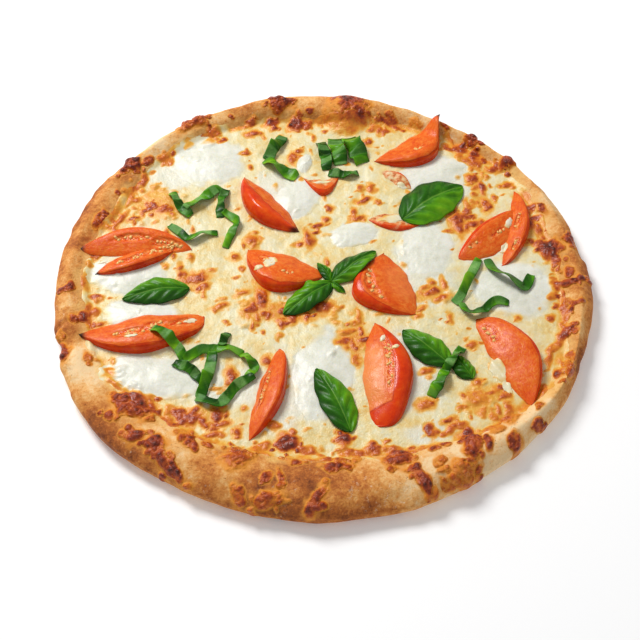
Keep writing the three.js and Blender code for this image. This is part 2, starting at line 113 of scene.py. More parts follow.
def between(a, b, c, d, t):
    """A smooth curve that goes from b to c, with a before it and d after it."""
    return b + 0.5 * t * (c - a + t * (2 * a - 5 * b + 4 * c - d + t * (3 * (b - c) + d - a)))


def around(stations, angle):
    """The value at an angle, on a smooth closed curve through evenly spaced stations."""
    place = (np.asarray(angle) / TURN % 1) * len(stations)
    first = np.floor(place).astype(int)
    near = (np.take(stations, first + step, mode="wrap") for step in (-1, 0, 1, 2))
    return between(*near, place - first)


def ripple(angle, phase):
    """Waves from -1 to 1 round the pizza, uneven as dough and cheese are."""
    slow = 0.45 * np.sin(5 * angle + 1.1 + phase)
    middle = 0.35 * np.sin(11 * angle + 2.3 - phase)
    return slow + middle + 0.2 * np.sin(23 * angle + 0.7 + 2 * phase)


def notch(angle):
    """1 where the rim folded in at its left edge, and 0 away from it."""
    return np.exp(-(((angle % TURN) - NOTCH_ANGLE) / NOTCH_SPAN) ** 2)


def rim_radius(angle):
    return around(RIM_RADII, angle) + 0.8 * ripple(angle, 0) - NOTCH_DEPTH * notch(angle)


def cheese_radius(angle):
    return around(CHEESE_RADII, angle) + 1.8 * ripple(angle, 2.1)


def dough_section(angle):
    """Radius and height of the twelve corners of the dough's section, for each angle."""
    radius = rim_radius(angle)
    reach = cheese_radius(angle)
    width = radius - reach
    crest = around(RIM_HEIGHTS, angle) - 0.8 * NOTCH_DEPTH * notch(angle)
    lumps = [0.45 * ripple(2 * angle, phase) for phase in (1, 2, 3, 4)]
    corners = (
        (radius - 11, 0), (radius - 4.5, 1), (radius - 0.9, 4.2), (radius, 7.6),
        (radius - 1.6, 11.2), (radius - 2.2 - 0.16 * width, crest - 1.9 + lumps[0]),
        (radius - 1 - 0.36 * width, crest - 0.2 + lumps[1]),
        (radius - 0.56 * width, crest - 0.4 + lumps[2]),
        (radius - 0.78 * width, crest - 2.2 + lumps[3]),
        (reach, INNER_LIP_HEIGHT), (reach - 3, 8.6), (reach - 8, DOUGH_THICKNESS),
    )
    return np.array([[r + 0 * angle, z + 0 * angle] for r, z in corners])


def along_section(corners, place):
    """The point at a place between the corners: 0 is the first corner and 11 the last."""
    first = np.clip(np.floor(place).astype(int), 0, len(corners) - 2)
    picks = [np.clip(first + step, 0, len(corners) - 1)[None, None, :] for step in (-1, 0, 1, 2)]
    near = (np.take_along_axis(corners, pick, axis=0)[0] for pick in picks)
    return between(*near, place - first)


def grain(points, size, seed):
    """Smooth lumps from -1 to 1 at points in millimetres, about size apart."""
    spot = points / size + 31.7 * seed
    cell = np.floor(spot).astype(np.int64)
    blend = spot - cell
    blend = blend * blend * (3 - 2 * blend)
    total = np.zeros(len(points))
    for corner in range(8):
        step = np.array([corner & 1, corner >> 1 & 1, corner >> 2 & 1])
        key = (cell + step) @ np.array([73856093, 19349663, 83492791])
        key = (key ^ (key >> 13)) * 1274126177 & 0xFFFFFFFF
        key = (key ^ (key >> 16)) * 668265263 & 0xFFFFFFFF
        weight = np.where(step == 1, blend, 1 - blend).prod(axis=1)
        total += weight * (key / 0x7FFFFFFF - 1)
    return total


def bubbles(points, size, seed):
    """Close-packed domes about size millimetres across: 1 on top of each and 0 between."""
    spot = points / size + 17.3 * seed
    cell = np.floor(spot).astype(np.int64)
    nearest = np.full(len(points), 9.0)
    for step in np.ndindex(3, 3, 3):
        corner = cell + np.array(step) - 1
        key = corner @ np.array([73856093, 19349663, 83492791]) + 101 * seed
        centre = corner.astype(float)
        for axis in range(3):
            key = (key ^ (key >> 15)) * 2246822519 & 0xFFFFFFFF
            centre[:, axis] += 0.15 + 0.7 * key / 0xFFFFFFFF
        nearest = np.minimum(nearest, ((spot - centre) ** 2).sum(axis=1))
    return np.clip(1 - nearest / 0.62, 0, 1)


def ease(low, high, value):
    """0 below low, 1 above high and smooth between them; low may be the larger."""
    t = np.clip((value - low) / (high - low), 0, 1)
    return t * t * (3 - 2 * t)


def turned(x, y, degrees):
    """A place after a turn about the middle, counterclockwise from above."""
    c, s = math.cos(math.radians(degrees)), math.sin(math.radians(degrees))
    return x * c - y * s, x * s + y * c


def from_middle(points):
    """Each point's distance from the middle and its angle, seen from above."""
    return np.hypot(points[:, 0], points[:, 1]), np.arctan2(points[:, 1], points[:, 0])


def from_spot(points, x, y):
    """Each point's distance from a spot, seen from above."""
    return np.hypot(points[:, 0] - x, points[:, 1] - y)


def points_of(made):
    return np.array([vert.co for vert in made.verts])


def move_points(made, points):
    for vert, point in zip(made.verts, points.tolist()):
        vert.co = point


def normals_of(made):
    made.normal_update()
    return np.array([vert.normal for vert in made.verts])


class Table:
    """What already lies on the table, asked for its height at a place."""

    def __init__(self):
        self.trees = []

    def add(self, made):
        points = points_of(made)
        self.trees.append((BVHTree.FromBMesh(made), points.min(0) - 1, points.max(0) + 1))

    def height(self, x, y):
        highest = 0
        for tree, low, high in self.trees:
            if low[0] < x < high[0] and low[1] < y < high[1]:
                place = tree.ray_cast(Vector((x, y, 60)), Vector((0, 0, -1)))[0]
                place = place or tree.ray_cast(Vector((x + 0.02, y + 0.03, 60)), Vector((0, 0, -1)))[0]
                if place is not None:
                    highest = max(highest, place.z)
        return highest

    def heights(self, points):
        return np.array([self.height(x, y) for x, y in points[:, :2].tolist()])


def browned(points, spots, table):
    """How far each point is raised and browned by burnt-on crisps."""
    rise = np.zeros(len(points))
    brown = np.zeros(len(points))
    edge = grain(points, 5.5, 3)
    fine = grain(points, 2, 9)
    knobs = np.maximum(bubbles(points, 4.8, 5), 0.75 * bubbles(points, 2.8, 6))
    drift = 1.3 * np.stack([grain(points, 4.2, 51), grain(points, 4.2, 52)], axis=1)
    for x, y, long, wide, turn, height, dark in spots:
        level = table.height(x, y)
        near = np.abs(points[:, 0] - x) + np.abs(points[:, 1] - y) < 1.8 * (long + wide)
        gap = points[near] - (x, y, level)
        gap[:, :2] += drift[near]
        across, beside = turned(gap[:, 0], gap[:, 1], -turn)
        below = gap[:, 2] / (wide / 2 + 3)
        ratio = np.sqrt((across / (long / 2)) ** 2 + (beside / (wide / 2)) ** 2 + 0.6 * below ** 2)
        ratio = ratio * (1 + 0.3 * edge[near] + 0.12 * fine[near])
        lump = height * ease(1.15, 0.5, ratio) * (0.3 + 0.8 * knobs[near])
        rise[near] = np.maximum(rise[near], lump)
        tint = 0.3 * ease(1.75, 0.95, ratio)
        core = ease(1.15, 0.7, ratio) * (0.32 + 0.3 * knobs[near] + 0.12 * edge[near])
        brown[near] = np.maximum(brown[near], tint * min(1, dark + 0.2) + core * dark)
    return rise, brown


def knobbled(spots, smallest, seed):
    """The larger spots again, each with a few small knobs crowded round it."""
    draw = np.random.default_rng(seed)
    crowd = []
    for x, y, long, wide, turn, height, dark in spots:
        for _ in range(int(max(0, (long + wide) / 2 - smallest) * 0.8) + 1):
            way = TURN * draw.random()
            reach = 0.42 + 0.34 * draw.random()
            away = turned(long * reach * math.cos(way), wide * reach * math.sin(way), turn)
            size = min(2.4 + 2.4 * draw.random(), 0.8 * wide)
            crowd.append((
                x + away[0], y + away[1], size * 1.4, size,
                180 * draw.random(), 0.4 + 0.2 * size, dark * (0.45 + 0.5 * draw.random()),
            ))
    return tuple(spots) + tuple(crowd)


def edge_bubbles():
    """Small browned bubbles along the cheese's edge, more of them on some sides."""
    draw = np.random.default_rng(11)
    spots = []
    while len(spots) < EDGE_BUBBLES:
        angle = TURN * draw.random()
        crowd = 0.5 + 0.5 * math.sin(3 * angle + 1.9) * math.cos(2 * angle)
        if draw.random() > 0.35 + 0.65 * crowd:
            continue
        radius = cheese_radius(angle) - EDGE_INWARD + (EDGE_INWARD + EDGE_OUTWARD) * draw.random()
        wide = 2.6 + 4 * draw.random() ** 1.5
        long = wide * (1 + 0.9 * draw.random())
        turn = math.degrees(angle) + 90 + 50 * (draw.random() - 0.5)
        place = (radius * math.cos(angle), radius * math.sin(angle))
        spots.append((*place, long, wide, turn, 0.2 + 0.13 * wide, 0.3 + 0.6 * draw.random()))
    return tuple(spots)


def bubble(points):
    """Rise and browning of the large bubble: a thin dome with fine creases, charred on top."""
    x, y, wide, height = BUBBLE
    ratio = from_spot(points, x, y) / (wide / 2) * (1 + 0.1 * grain(points, 9, 31))
    creases = 1 - np.abs(grain(points, 3.6, 32)) - 0.5 * np.abs(grain(points, 1.8, 33))
    rise = height * ease(1.15, 0.1, ratio) + 0.5 * ease(1.05, 0.8, ratio) * creases
    brown = ease(1.2, 0.85, ratio) * (0.42 - 0.2 * creases + 0.16 * grain(points, 6, 34))
    for spot_x, spot_y, size, dark in BUBBLE_CHARS:
        away = from_spot(points, spot_x, spot_y) / (size / 2)
        brown += dark * ease(1.3, 0.3, away * (1 + 0.3 * grain(points, 4, 35)))
    return rise, brown


def build_dough():
    """A strip rolled round into a ring, then set to the dough's section at each angle."""
    places = [-1]
    for corner, steps in enumerate(STEPS_BETWEEN):
        places += [corner + step / steps for step in range(steps)]
    places = np.array(places + [len(STEPS_BETWEEN), len(STEPS_BETWEEN) + 1])
    made = bmesh.new()
    layer = made.verts.layers.float.new("place")
    bmesh.ops.create_grid(made, x_segments=RIM_SECTORS, y_segments=len(places) - 1, size=1)
    strip = points_of(made)
    angle = (strip[:, 0] + 1) / 2 * TURN
    place = places[np.rint((strip[:, 1] + 1) / 2 * (len(places) - 1)).astype(int)]
    inside = (place >= 0) & (place <= len(STEPS_BETWEEN))
    section = dough_section(angle)
    sharp = along_section(section, place)
    rounded = (sharp + along_section(section, place - 0.6) + along_section(section, place + 0.6)) / 3
    radius, height = sharp + (rounded - sharp) * ease(3, 4.5, place) * ease(8.5, 7, place)
    radius = np.where(inside, radius, 0)
    height = np.where(place < 0.001, 0, np.where(inside, height, DOUGH_THICKNESS))
    move_points(made, np.stack([radius * np.cos(angle), radius * np.sin(angle), height], axis=1))
    for vert, value in zip(made.verts, place.tolist()):
        vert[layer] = value
    bmesh.ops.remove_doubles(made, verts=made.verts, dist=0.001)
    bmesh.ops.recalc_face_normals(made, faces=made.faces)
    return made, np.array([vert[layer] for vert in made.verts])


dough, dough_place = build_dough()
bare_dough = Table()
bare_dough.add(dough)
points = points_of(dough)
outward = normals_of(dough)
angle = from_middle(points)[1]
shown = ease(1.2, 3, dough_place) * ease(11.5, 10, dough_place)
puff = 1.5 * grain(points, 24, 1) + 0.7 * grain(points, 10, 2) + 0.25 * grain(points, 4.5, 4)
pleat = np.exp(-((angle % TURN - PLEAT_ANGLE + 0.003 * (points[:, 2] - 8)) / PLEAT_SPAN) ** 2)
puff = puff - PLEAT_DEPTH * pleat * ease(4, 9, points[:, 2]) + 0.08 * grain(points, 1.6, 6)
puff -= HOLLOW_DEPTH * ease(-0.1, 0.7, grain(points * (1, 1, 0.5), 15, 5)) * ease(5.6, 4, dough_place)
edge_spots = tuple(
    spot for spot in edge_bubbles()
    if math.hypot(spot[0] - BUBBLE[0], spot[1] - BUBBLE[1]) > BUBBLE[2] / 2
)
crisp_spots = knobbled(CRISPS, 7, 13)
lift, dough_brown = browned(points, crisp_spots + edge_spots, bare_dough)
bubble_lift, bubble_brown = bubble(points)
lift = np.maximum(lift * CRISP_SWELL, bubble_lift * BUBBLE_SWELL)
dough_brown = np.maximum(dough_brown, bubble_brown)
points = points + outward * ((puff * PUFF_SWELL - SHRINKAGE + lift) * shown)[:, None]
outermost = rim_radius(angle) - OUTER_MARGIN
points[:, :2] *= np.minimum(1, outermost / np.maximum(from_middle(points)[0], 1))[:, None]
points[:, 2] = np.maximum(points[:, 2], 0)
move_points(dough, points)

for x, wide in FOOT_CHARS:
    away = np.hypot((points[:, 0] - x) / (wide / 2), (points[:, 2] - FOOT_HEIGHT) / FOOT_SPREAD)
    burnt = ease(1.3, 0.5, away * (1 + 0.5 * grain(points, 1.5, 36))) * (points[:, 1] < 0)
    dough_brown = np.maximum(dough_brown, burnt)

toast = 0.36 + 0.22 * grain(points, 28, 7) + 0.16 * grain(points, 11, 8)
for x, y, wide, amount in TOASTED:
    toast += amount * np.exp(-from_spot(points, x, y) ** 2 / (0.32 * wide * wide))
toast += 0.15 * ease(5.5, 3.6, dough_place) * ease(2, 3.4, dough_place)
toast = np.clip(toast, 0, 1)
beyond = from_middle(points)[0] - cheese_radius(angle)
glaze = ease(9, 1, beyond + 3.4 * grain(points, 7, 10)) * (0.55 + 0.45 * grain(points, 13, 12))

MM = 0.001


def shade(red, green, blue):
    """A colour as it looks on a screen, from 0 to 255, as the light it stands for."""
    return tuple(
        level / 255 / 12.92 if level <= 10 else ((level / 255 + 0.055) / 1.055) ** 2.4
        for level in (red, green, blue)
    ) + (1,)


class Flow:
    """A value or colour in a recipe's nodes, so that sums on it can be written as Python."""

    def __init__(self, recipe, socket):
        self.recipe = recipe
        self.socket = socket

    def reckon(self, operation, *values):
        return self.recipe.node("ShaderNodeMath", {"operation": operation}, dict(enumerate(values)))

    def __add__(self, other):
        return self.reckon("ADD", self, other)

    def __radd__(self, other):
        return self.reckon("ADD", other, self)

    def __sub__(self, other):
        return self.reckon("SUBTRACT", self, other)

    def __rsub__(self, other):
        return self.reckon("SUBTRACT", other, self)

    def __mul__(self, other):
        return self.reckon("MULTIPLY", self, other)

    def __rmul__(self, other):
        return self.reckon("MULTIPLY", other, self)

    def ease(self, low, high):
        """0 below low, 1 above high and smooth between; low may be the larger."""
        settings = {"interpolation_type": "SMOOTHSTEP"}
        if low > high:
            return 1 - self.recipe.node("ShaderNodeMapRange", settings, {0: self, 1: high, 2: low})
        return self.recipe.node("ShaderNodeMapRange", settings, {0: self, 1: low, 2: high})


class Recipe:
    """A material's nodes."""

    def __init__(self, name):
        self.material = bpy.data.materials.new(name)
        self.material.use_nodes = True
        self.tree = self.material.node_tree
        self.tree.nodes.clear()
        self.place = self.node("ShaderNodeTexCoord", out="Object")

    def node(self, kind, settings=None, values=None, out=0):
        made = self.tree.nodes.new(kind)
        for name, setting in (settings or {}).items():
            if name == "stops":
                ramp = made.color_ramp.elements
                while len(ramp) < len(setting):
                    ramp.new(0.5)
                for stop, (position, colour) in zip(ramp, setting):
                    stop.position = position
                    stop.color = colour
            else:
                setattr(made, name, setting)
        for name, value in (values or {}).items():
            socket = self.socket(made, name)
            if isinstance(value, Flow):
                self.tree.links.new(value.socket, socket)
            else:
                socket.default_value = value
        return Flow(self, made.outputs[out]) if len(made.outputs) else None

    def socket(self, made, name):
        if isinstance(name, int):
            return made.inputs[name]
        for socket in made.inputs:
            if socket.identifier == name:
                return socket
        return made.inputs[name]

    def measured(self, *names):
        """What was measured on the mesh, point by point, under each name."""
        return [self.node("ShaderNodeAttribute", {"attribute_name": name}, out="Fac") for name in names]

    def noise(self, size, detail=2, roughness=0.5, where=None, distortion=0):
        """Even noise from 0 to 1, with lumps about size millimetres across."""
        values = {"Vector": where or self.place, "Scale": 1 / (size * MM)}
        values.update({"Detail": detail, "Roughness": roughness, "Distortion": distortion})
        return self.node("ShaderNodeTexNoise", None, values)

    def cells(self, size, where=None):
        """How far the nearest of scattered points is, which lie about size millimetres apart."""
        values = {"Vector": where or self.place, "Scale": 1 / (size * MM)}
        return self.node("ShaderNodeTexVoronoi", {"feature": "F1"}, values)

    def knobs(self):
        """Small close-packed knobs, as cheese bubbles up where it fries: 1 on top, 0 between."""
        values = {"Vector": self.place, "Scale": 1 / (3 * MM), "Detail": 1}
        drift = self.node("ShaderNodeTexNoise", None, values, out="Color")
        reach = {0: drift, 1: (1.6 * MM, 1.6 * MM, 1.6 * MM), 2: self.place}
        where = self.node("ShaderNodeVectorMath", {"operation": "MULTIPLY_ADD"}, reach)
        large = self.cells(4.2, where).ease(0.8, 0.05)
        return large * 0.65 + self.cells(2.4, where).ease(0.75, 0.1) * 0.35

    def ramp(self, value, *stops):
        """A colour for each value, blended between the stops."""
        return self.node("ShaderNodeValToRGB", {"stops": stops}, {0: value})

    def mix(self, share, first, second):
        values = {"Factor_Float": share, "A_Color": first, "B_Color": second}
        return self.node("ShaderNodeMix", {"data_type": "RGBA"}, values, out=2)

    def bump(self, height, depth):
        """Relief of depth millimetres where height goes from 0 to 1."""
        values = {"Height": height, "Strength": 1, "Distance": depth * MM}
        return self.node("ShaderNodeBump", None, values)

    def finish(self, **values):
        named = {name.replace("_", " "): value for name, value in values.items()}
        surface = self.node("ShaderNodeBsdfPrincipled", None, named)
        self.node("ShaderNodeOutputMaterial", None, {"Surface": surface})
        return self.material


def browning(recipe, amount, palest, pale):
    """Colour of melted cheese as it browns, from golden to nearly burnt."""
    return recipe.ramp(
        amount,
        (0, palest), (0.15, pale), (0.3, shade(224, 138, 34)),
        (0.46, shade(202, 98, 22)), (0.62, shade(164, 62, 20)), (0.8, shade(118, 40, 18)),
        (1, shade(72, 26, 16)),
    )


def crust_recipe():
    recipe = Recipe("baked_dough")
    toasted, brown, glazed = recipe.measured("toast", "brown", "glaze")
    broad = recipe.noise(14, 4, 0.6)
    fine = recipe.noise(1.1, 3, 0.65)
    pores = recipe.noise(0.45, 2, 0.5)
    mottle = recipe.noise(3.4, 4, 0.7)
    bake = toasted + (broad - 0.5) * 0.95 + (mottle - 0.5) * 0.8 + (fine - 0.5) * 0.5
    dough_colour = recipe.ramp(
        bake,
        (0, shade(244, 210, 160)), (0.28, shade(236, 180, 110)), (0.5, shade(216, 142, 66)),
        (0.72, shade(182, 102, 38)), (1, shade(122, 60, 24)),
    )
    flour = recipe.noise(2.6, 5, 0.75).ease(0.56, 0.68) * recipe.noise(26, 2).ease(0.46, 0.62)
    dough_colour = recipe.mix(flour * 0.42, dough_colour, shade(250, 236, 208))
    golden = recipe.mix(glazed.ease(0.1, 0.85) * 0.6, dough_colour, shade(240, 196, 112))
    knobs = recipe.knobs()
    burnt = brown * (knobs * 0.5 + 0.66) + (fine - 0.5) * 0.16 * brown.ease(0.05, 0.4)
    crisp = browning(recipe, burnt, shade(230, 160, 70), shade(228, 150, 52))
    colour = recipe.mix(brown.ease(0.04, 0.34), golden, crisp)
    speck = recipe.cells(9).ease(0.075, 0.045) * recipe.noise(30, 1).ease(0.5, 0.6)
    pits = recipe.cells(1.7).ease(0.26, 0.12) * recipe.noise(7, 2).ease(0.5, 0.64)
    colour = recipe.mix(speck * 0.55 + pits * 0.4, colour, shade(112, 58, 28))
    relief = fine * 0.7 + pores * 0.25 + mottle * 1.1 + knobs * brown.ease(0.22, 0.5) * 3 - pits * 0.5
    rough = 0.82 - 0.44 * brown.ease(0.15, 0.5) - 0.2 * glazed.ease(0.2, 0.9)
    return recipe.finish(
        Base_Color=colour, Roughness=rough, Normal=recipe.bump(relief, 0.5),
        Subsurface_Weight=0.08, Subsurface_Radius=(1, 0.6, 0.35), Subsurface_Scale=0.002,
        Specular_IOR_Level=0.36,
    )


def set_out(name, data):
    """A new object in the scene, at the origin."""
    placed = bpy.data.objects.new(name, data)
    bpy.context.scene.collection.objects.link(placed)
    return placed


def serve(made, name, material, node, measured):
    """Makes a finished piece of a mesh in millimetres and puts it in its CAD node's place."""
    mesh = bpy.data.meshes.new(name)
    made.to_mesh(mesh)
    for label, values in measured.items():
        mesh.attributes.new(label, "FLOAT", "POINT").data.foreach_set("value", values.astype(np.float32))
    mesh.transform(Matrix.Scale(MM, 4))
    mesh.polygons.foreach_set("use_smooth", [True] * len(mesh.polygons))
    mesh.materials.append(material)
    piece = set_out(name, mesh)
    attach(piece, "root")
    if node:
        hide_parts(node)
    return piece


serve(
    dough, "hand_stretched_crust", crust_recipe(), "crust",
    {"brown": dough_brown, "toast": toast, "glaze": np.clip(glaze, 0, 1)},
)
table = Table()
table.add(dough)

# The melted cheese: one sheet of shredded low-moisture mozzarella that ran together in the
# oven. It creeps a little way up the rim and blisters: each bubble browns on its top and has
# a golden ring of fat round it.
CHEESE_TOP = 9.9
CHEESE_SPAN = 302
CHEESE_CELLS = 344
CHEESE_TRIM = 5.5
# It thins out as a film on the rim, with a soft fillet where it starts to climb.
FILM_THICKNESS = 0.9
FILM_REACH = 7
FILLET = 1.4
# Browned bubbles: x, y, width, how dark.
BLISTERS = (
    (-120, 78, 5, 0.8), (-104, 62, 6, 0.9), (-98, 59, 8, 0.9), (-45, 125, 6, 0.8), (-18, 104, 5, 0.7),
    (38, 127, 5, 0.6), (-8, 34, 8, 0.95), (109, 92, 7, 1), (96, 84, 6, 0.9), (100, 77, 6, 0.95),
    (102, 62, 8, 1), (83, 49, 11, 0.9), (128, 45, 7, 0.95), (132, 41, 6, 0.9), (-76, 4, 10, 1),
    (-60, -17, 6, 0.6), (-74, -95, 11, 1), (-59, -94, 9, 1), (-52, -67, 8, 1), (-60, -106, 6, 0.6),
    (-43, 34, 8, 0.6), (-36, -11, 10, 1), (-23, -21, 7, 0.95), (-1, -18, 10, 1), (64, -7, 8, 0.95),
    (69, -12, 6, 0.6), (59, -64, 5, 0.6), (57, -87, 7, 0.65), (86, -83, 12, 0.45), (101, -81, 6, 0.5),
    (-116, 67, 5, 0.6), (-116, 52, 5, 0.8), (-108, 59, 6, 0.85), (-101, 76, 4, 0.4), (-50, 131, 4, 0.5),
    (-31, 129, 4, 0.5), (-49, 107, 4, 0.9), (-46, 95, 3, 0.6), (-14, 109, 4, 0.7), (-19, 102, 5, 0.6),
    (30, 117, 5, 0.7), (33, 128, 4, 0.5), (42, 126, 5, 0.9), (24, 76, 4, 0.5), (30, 76, 5, 0.55),
    (5, 59, 4, 0.8), (2, 50, 4, 0.6), (-3, 45, 4.5, 0.8), (22, 51, 6, 0.75), (101, 87, 4, 0.5),
    (94, 84, 6, 0.8), (116, 79, 5, 0.6), (96, 71, 4, 0.6), (82, 58, 5, 0.6), (90, 62, 5, 0.5),
    (127, 31, 4, 0.7), (-94, 13, 4, 0.5), (-85, 12, 4, 0.6), (-67, 11, 4, 0.6), (-56, -29, 3, 0.6),
    (-79, 20, 4, 0.45), (-100, 20, 4, 0.4), (-70, -8, 4, 0.4), (-52, 5, 3, 0.5), (-60, -76, 4, 0.6),
    (-120, -57, 4, 0.7), (-47, -105, 5, 0.7), (-60, -102, 5, 0.6), (-53, 21, 5, 0.6), (-39, 23, 4, 0.5),
    (-47, -8, 6, 0.5), (-42, -20, 6, 0.8), (-38, -26, 4, 0.6), (-33, -23, 5, 0.7), (-41, -32, 4, 0.55),
    (-10, -25, 5, 0.8), (-18, -26, 6, 0.8), (-23, -30, 5, 0.7), (11, -18, 3, 0.6), (21, -26, 6, 0.5),
    (15, -36, 6, 0.5), (11, -43, 7, 1), (17, -45, 6, 0.9), (24, -41, 5, 0.9), (22, -35, 4, 0.8),
    (19, -56, 6, 0.7), (-32, -56, 5, 0.7), (49, 29, 3, 0.5), (49, 23, 3, 0.5), (49, 14, 4, 0.55),
    (72, -1, 5, 0.6), (57, -20, 5, 0.5), (56, -25, 4, 0.5), (74, -27, 4, 0.6), (86, -46, 5, 0.55),
    (59, -69, 3, 0.6), (87, -72, 5, 0.5), (99, -75, 4, 0.8), (104, -81, 4, 0.5), (97, -91, 5, 0.6),
    (69, -97, 5, 0.6), (88, -92, 6, 0.5), (77, -89, 5, 0.5), (92, -80, 5, 0.6), (-113, 38, 5, 0.6),
    (-128, 42, 5, 0.6), (26, -58, 4, 0.6), (30, -44, 3, 0.7), (62, 58, 9, 0.75), (54, 62, 8, 0.7),
    (58, 68, 7, 0.6), (66, 52, 6, 0.7), (19, 55, 5, 0.7), (26, 66, 6, 0.75), (92, 46, 8, 1),
    (84, 43, 6, 0.9), (34, 64, 4, 0.5), (118, 49, 5, 0.6), (120, 66, 4, 0.5), (-130, 57, 6, 0.5),
)
# Golden streaks and arcs along the edge: x, y, length, width, turn in degrees, rise, how dark.
STREAKS = (
    (-134, 58, 26, 6, 62, 1.2, 0.42), (-125, 50, 22, 5, 55, 1, 0.45), (-119, 68, 16, 5, 70, 0.8, 0.4),
    (-139, 44, 16, 6, 30, 0.9, 0.45), (-136, 30, 12, 5, 20, 0.8, 0.6), (-137, -20, 5, 14, 10, 0.8, 0.5),
    (100, -102, 30, 5, 14, 0.9, 0.5), (60, -117, 24, 5, 10, 0.8, 0.5), (18, -118, 22, 6, -8, 0.9, 0.5),
    (-10, -126, 26, 5, 6, 0.8, 0.45), (-34, -114, 14, 6, 30, 0.8, 0.5),
    (-64, -113, 18, 6, -30, 0.8, 0.45), (-84, -100, 16, 7, -50, 0.9, 0.5),
    (128, -58, 14, 5, 75, 0.8, 0.45), (134, -46, 18, 5, 50, 0.8, 0.5),
    (142, -26, 16, 5, 80, 0.8, 0.45), (143, 8, 20, 5, 85, 0.8, 0.5), (144, 24, 20, 6, 95, 0.9, 0.55),
    (142, 40, 16, 5, 110, 0.7, 0.4), (95, 97, 24, 5, -48, 0.8, 0.45), (106, 104, 20, 4, -50, 0.7, 0.5),
    (88, 55, 30, 5, 48, 0.9, 0.6), (-90, 122, 20, 7, 20, 0.9, 0.4), (-104, 112, 16, 7, 40, 0.8, 0.3),
    (86, -83, 26, 12, 20, 0.9, 0.18), (-118, -66, 14, 6, 20, 0.7, 0.4), (-20, -22, 44, 14, -6, 0.3, 0.3),
    (-40, -20, 16, 18, 0, 0.3, 0.3), (18, -42, 22, 18, 30, 0.3, 0.28), (52, -12, 40, 8, 6, 0.2, 0.2),
    (-104, 64, 30, 26, 0, 0.3, 0.22), (-80, 128, 22, 5, 150, 0.9, 0.45),
)
SPECKS = 340
sheet_spots = crisp_spots + knobbled(STREAKS, 9, 14) + edge_spots

# The pools of fresh mozzarella lie in this sheet: x, y, length, width, turn in degrees.
POOLS = (
    (-73, 100, 50, 43, -10), (-11, 98, 17, 10, 80), (-15, 68, 36, 28, 60), (69, 89, 48, 28, 20),
    (115, -5, 52, 44, 10), (62, 25, 46, 36, 80), (-117, 8, 50, 30, 0), (-106, -22, 48, 23, 0),
    (-98, -68, 60, 31, -10), (19, 38, 31, 20, 15), (0, -67, 64, 36, 85),
)
POOL_WANDER = 0.07
# Where their milk spread further: x, y, length, width, turn in degrees.
MILKY = (
    (-52, -74, 46, 34, 0), (-20, -88, 44, 26, 60), (58, 0, 52, 40, 10), (-94, 86, 44, 34, 30),
    (80, 76, 50, 30, 20), (-30, 78, 30, 40, 0), (44, -60, 22, 70, 0), (100, 30, 50, 24, 60),
    (-112, -44, 50, 16, 0), (62, -104, 44, 18, 10), (52, -66, 34, 60, 10),
)


def inside_pool(points, pool):
    """0 in the middle of a pool and 1 on its edge, which wanders as melted cheese does."""
    x, y, long, wide, turn = pool
    across, beside = turned(points[:, 0] - x, points[:, 1] - y, -turn)
    across, beside = across / (long / 2), beside / (wide / 2)
    return np.hypot(across, beside) / (1 + POOL_WANDER * ripple(np.arctan2(beside, across), x))


def milkiness(points):
    """How white the cheese is at each point: 1 in a pool of fresh mozzarella, 0 away from one."""
    flat = points * (1, 1, 0)
    wander = 0.16 * grain(flat, 9, 21) + 0.1 * grain(flat, 3.5, 22)
    milk = np.zeros(len(points))
    for pool in POOLS:
        milk = np.maximum(milk, ease(1.18, 0.7, inside_pool(points, pool) + wander))
    for spread in MILKY:
        milk = np.maximum(milk, 0.62 * ease(1.3, 0.5, inside_pool(points, spread) + 1.6 * wander))
    radius, angle = from_middle(points)
    return milk * (0.4 + 0.6 * ease(3, -6, radius - cheese_radius(angle) + 3 * grain(flat, 5, 25)))


def cheese_edge(angle):
    return cheese_radius(angle) + 0.8


def cheese_floor(points):
    """Height of the sheet before it blisters."""
    x, y = points[:, 0], points[:, 1]
    flat = points * (1, 1, 0)
    wave = np.sin(0.09 * x + 0.04 * y) * np.cos(0.07 * y - 0.03 * x)
    lumps = 0.4 * grain(flat, 11, 13) + 0.26 * grain(flat, 5, 14)
    strands = 0.24 * (1 - 2 * np.abs(grain(flat * (1, 0.55, 1), 3.6, 15)))
    return CHEESE_TOP + 0.3 * wave + (lumps + strands) * (1 - 0.6 * milkiness(points))


